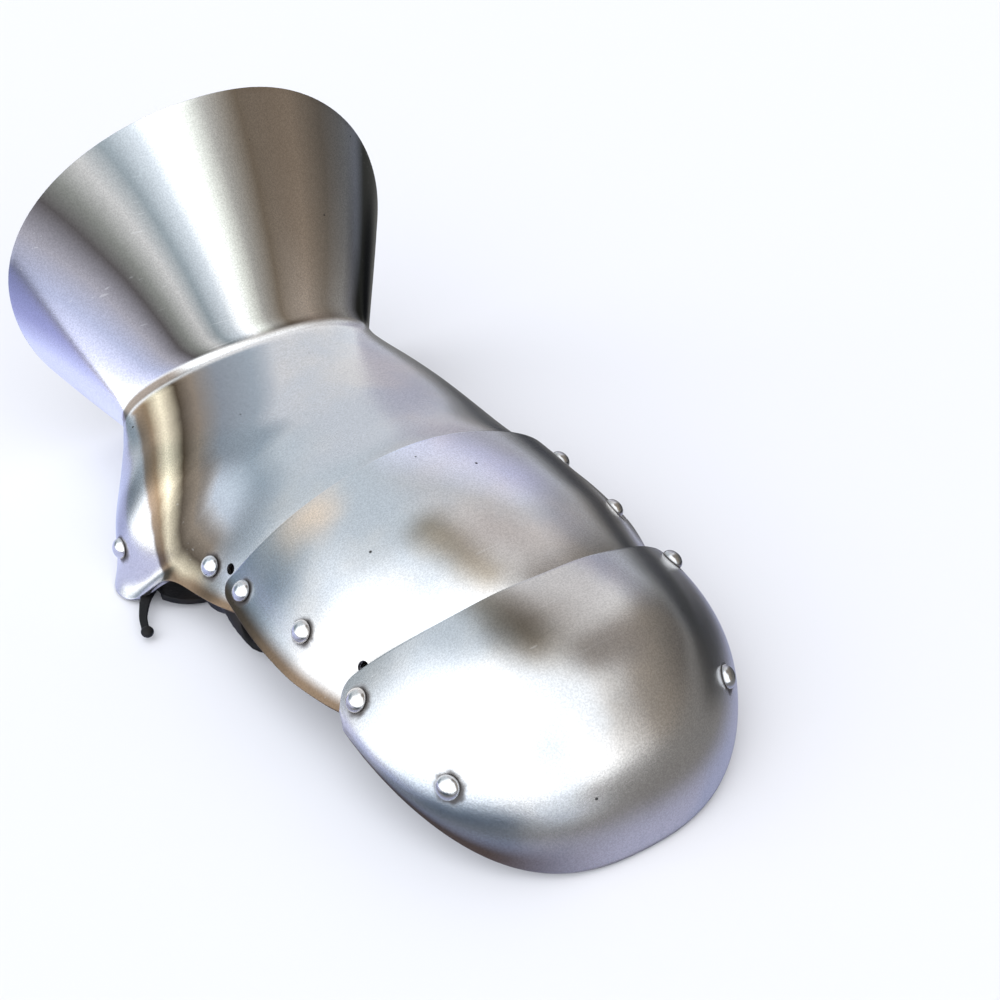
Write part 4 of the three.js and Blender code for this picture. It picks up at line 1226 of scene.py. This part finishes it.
def paint_tip(tree, place, colour):
    """Painted brown reflection along the thumb half of the fingertip plate's rim, then the plate's patches."""
    u, v = plate_map(tree, place)
    rim = fade_node(tree, v, 0.9, 0.975)
    thumb_half = fade_node(tree, u, 0.5, 0.25)
    brown_reflection = math_node(tree, "MULTIPLY", (rim, "Result"), (thumb_half, "Result"))
    colour = (colour_mix(tree, (brown_reflection, 0), colour, LIP_REFLECTION), "Result")
    return lay_painted_light_and_smudge(tree, place, colour, "tip")


def paint_none(tree, place, colour):
    return colour


PLATE_ROUGHNESS = 0.23
plate_seats = {"hand": [], "lame": [], "tip": []}
for name, plate, *_ in RIVETS:
    plate_seats[plate].append(seats[name][0])
steel = {
    "hand": steel_finish("satin_steel_hand", plate_seats["hand"], paint_hand, PLATE_ROUGHNESS),
    "lame": steel_finish("satin_steel_lame", plate_seats["lame"], paint_lame, PLATE_ROUGHNESS),
    "tip": steel_finish("satin_steel_tip", plate_seats["tip"], paint_tip, PLATE_ROUGHNESS),
}
rivet_steel = steel_finish("polished_rivet_steel", [], paint_none, 0.17)
print("steel finishes:", len(steel) + 1)


# %% Leather
LEATHER_BLACK = (0.004, 0.004, 0.005)
LEATHER_WORN = (0.016, 0.012, 0.010)
leather, leather_tree, leather_shader, leather_place = new_material("black_strap_leather")
hide = leather_tree.nodes.new("ShaderNodeTexVoronoi")
hide.inputs["Scale"].default_value = 900
wire(leather_tree, leather_place, "Object", hide, "Vector")
creases = noise_node(leather_tree, (leather_place, "Object"), 160, 4)
rubbed_hide = noise_node(leather_tree, (leather_place, "Object"), 60, 3)
rub = fade_node(leather_tree, (rubbed_hide, "Fac"), 0.45, 0.75)
hide_colour = colour_mix(leather_tree, (rub, "Result"), LEATHER_BLACK, LEATHER_WORN)
wire(leather_tree, hide_colour, "Result", leather_shader, "Base Color")
hide_rough = math_node(leather_tree, "MULTIPLY_ADD", (creases, "Fac"), 0.3, 0.45)
leather_shader.inputs["Specular IOR Level"].default_value = 0.2
wire(leather_tree, hide_rough, 0, leather_shader, "Roughness")
hide_height = math_node(leather_tree, "ADD", (hide, "Distance"), (creases, "Fac"))
hide_bump = leather_tree.nodes.new("ShaderNodeBump")
hide_bump.inputs["Strength"].default_value = 0.6
hide_bump.inputs["Distance"].default_value = 0.15 * MM
wire(leather_tree, hide_height, 0, hide_bump, "Height")
wire(leather_tree, hide_bump, "Normal", leather_shader, "Normal")
print("leather:", leather.name)

# %% [markdown]
# ## Bodies and stand-ins
# Every piece rides the body that carries it on the real gauntlet, so that the hinges move it, and it
# stands in for the plain solid of the same piece.

# %% Give each piece its finish, its body and the node it stands for
BODIES = {"hand": "hand", "lame": "knuckle", "tip": "fingertip"}


def dress(piece, material, body, node):
    """Finish, body, stand-in and material slot of one piece."""
    piece.data.materials.clear()
    piece.data.materials.append(material)
    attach(piece, body)
    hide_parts(node)


dress(hand_plate, steel["hand"], BODIES["hand"], "hand_plate")
dress(knuckle_lame, steel["lame"], BODIES["lame"], "knuckle_lame")
dress(finger_plate, steel["tip"], BODIES["tip"], "finger_plate")
for name, plate, *_ in RIVETS:
    dress(rivets[name], rivet_steel, BODIES[plate], name)
dress(strap_pin, rivet_steel, BODIES["hand"], "wrist_strap_pin")
for name, plate, *_ in STRAPS:
    dress(straps[name], leather, BODIES[plate], name)
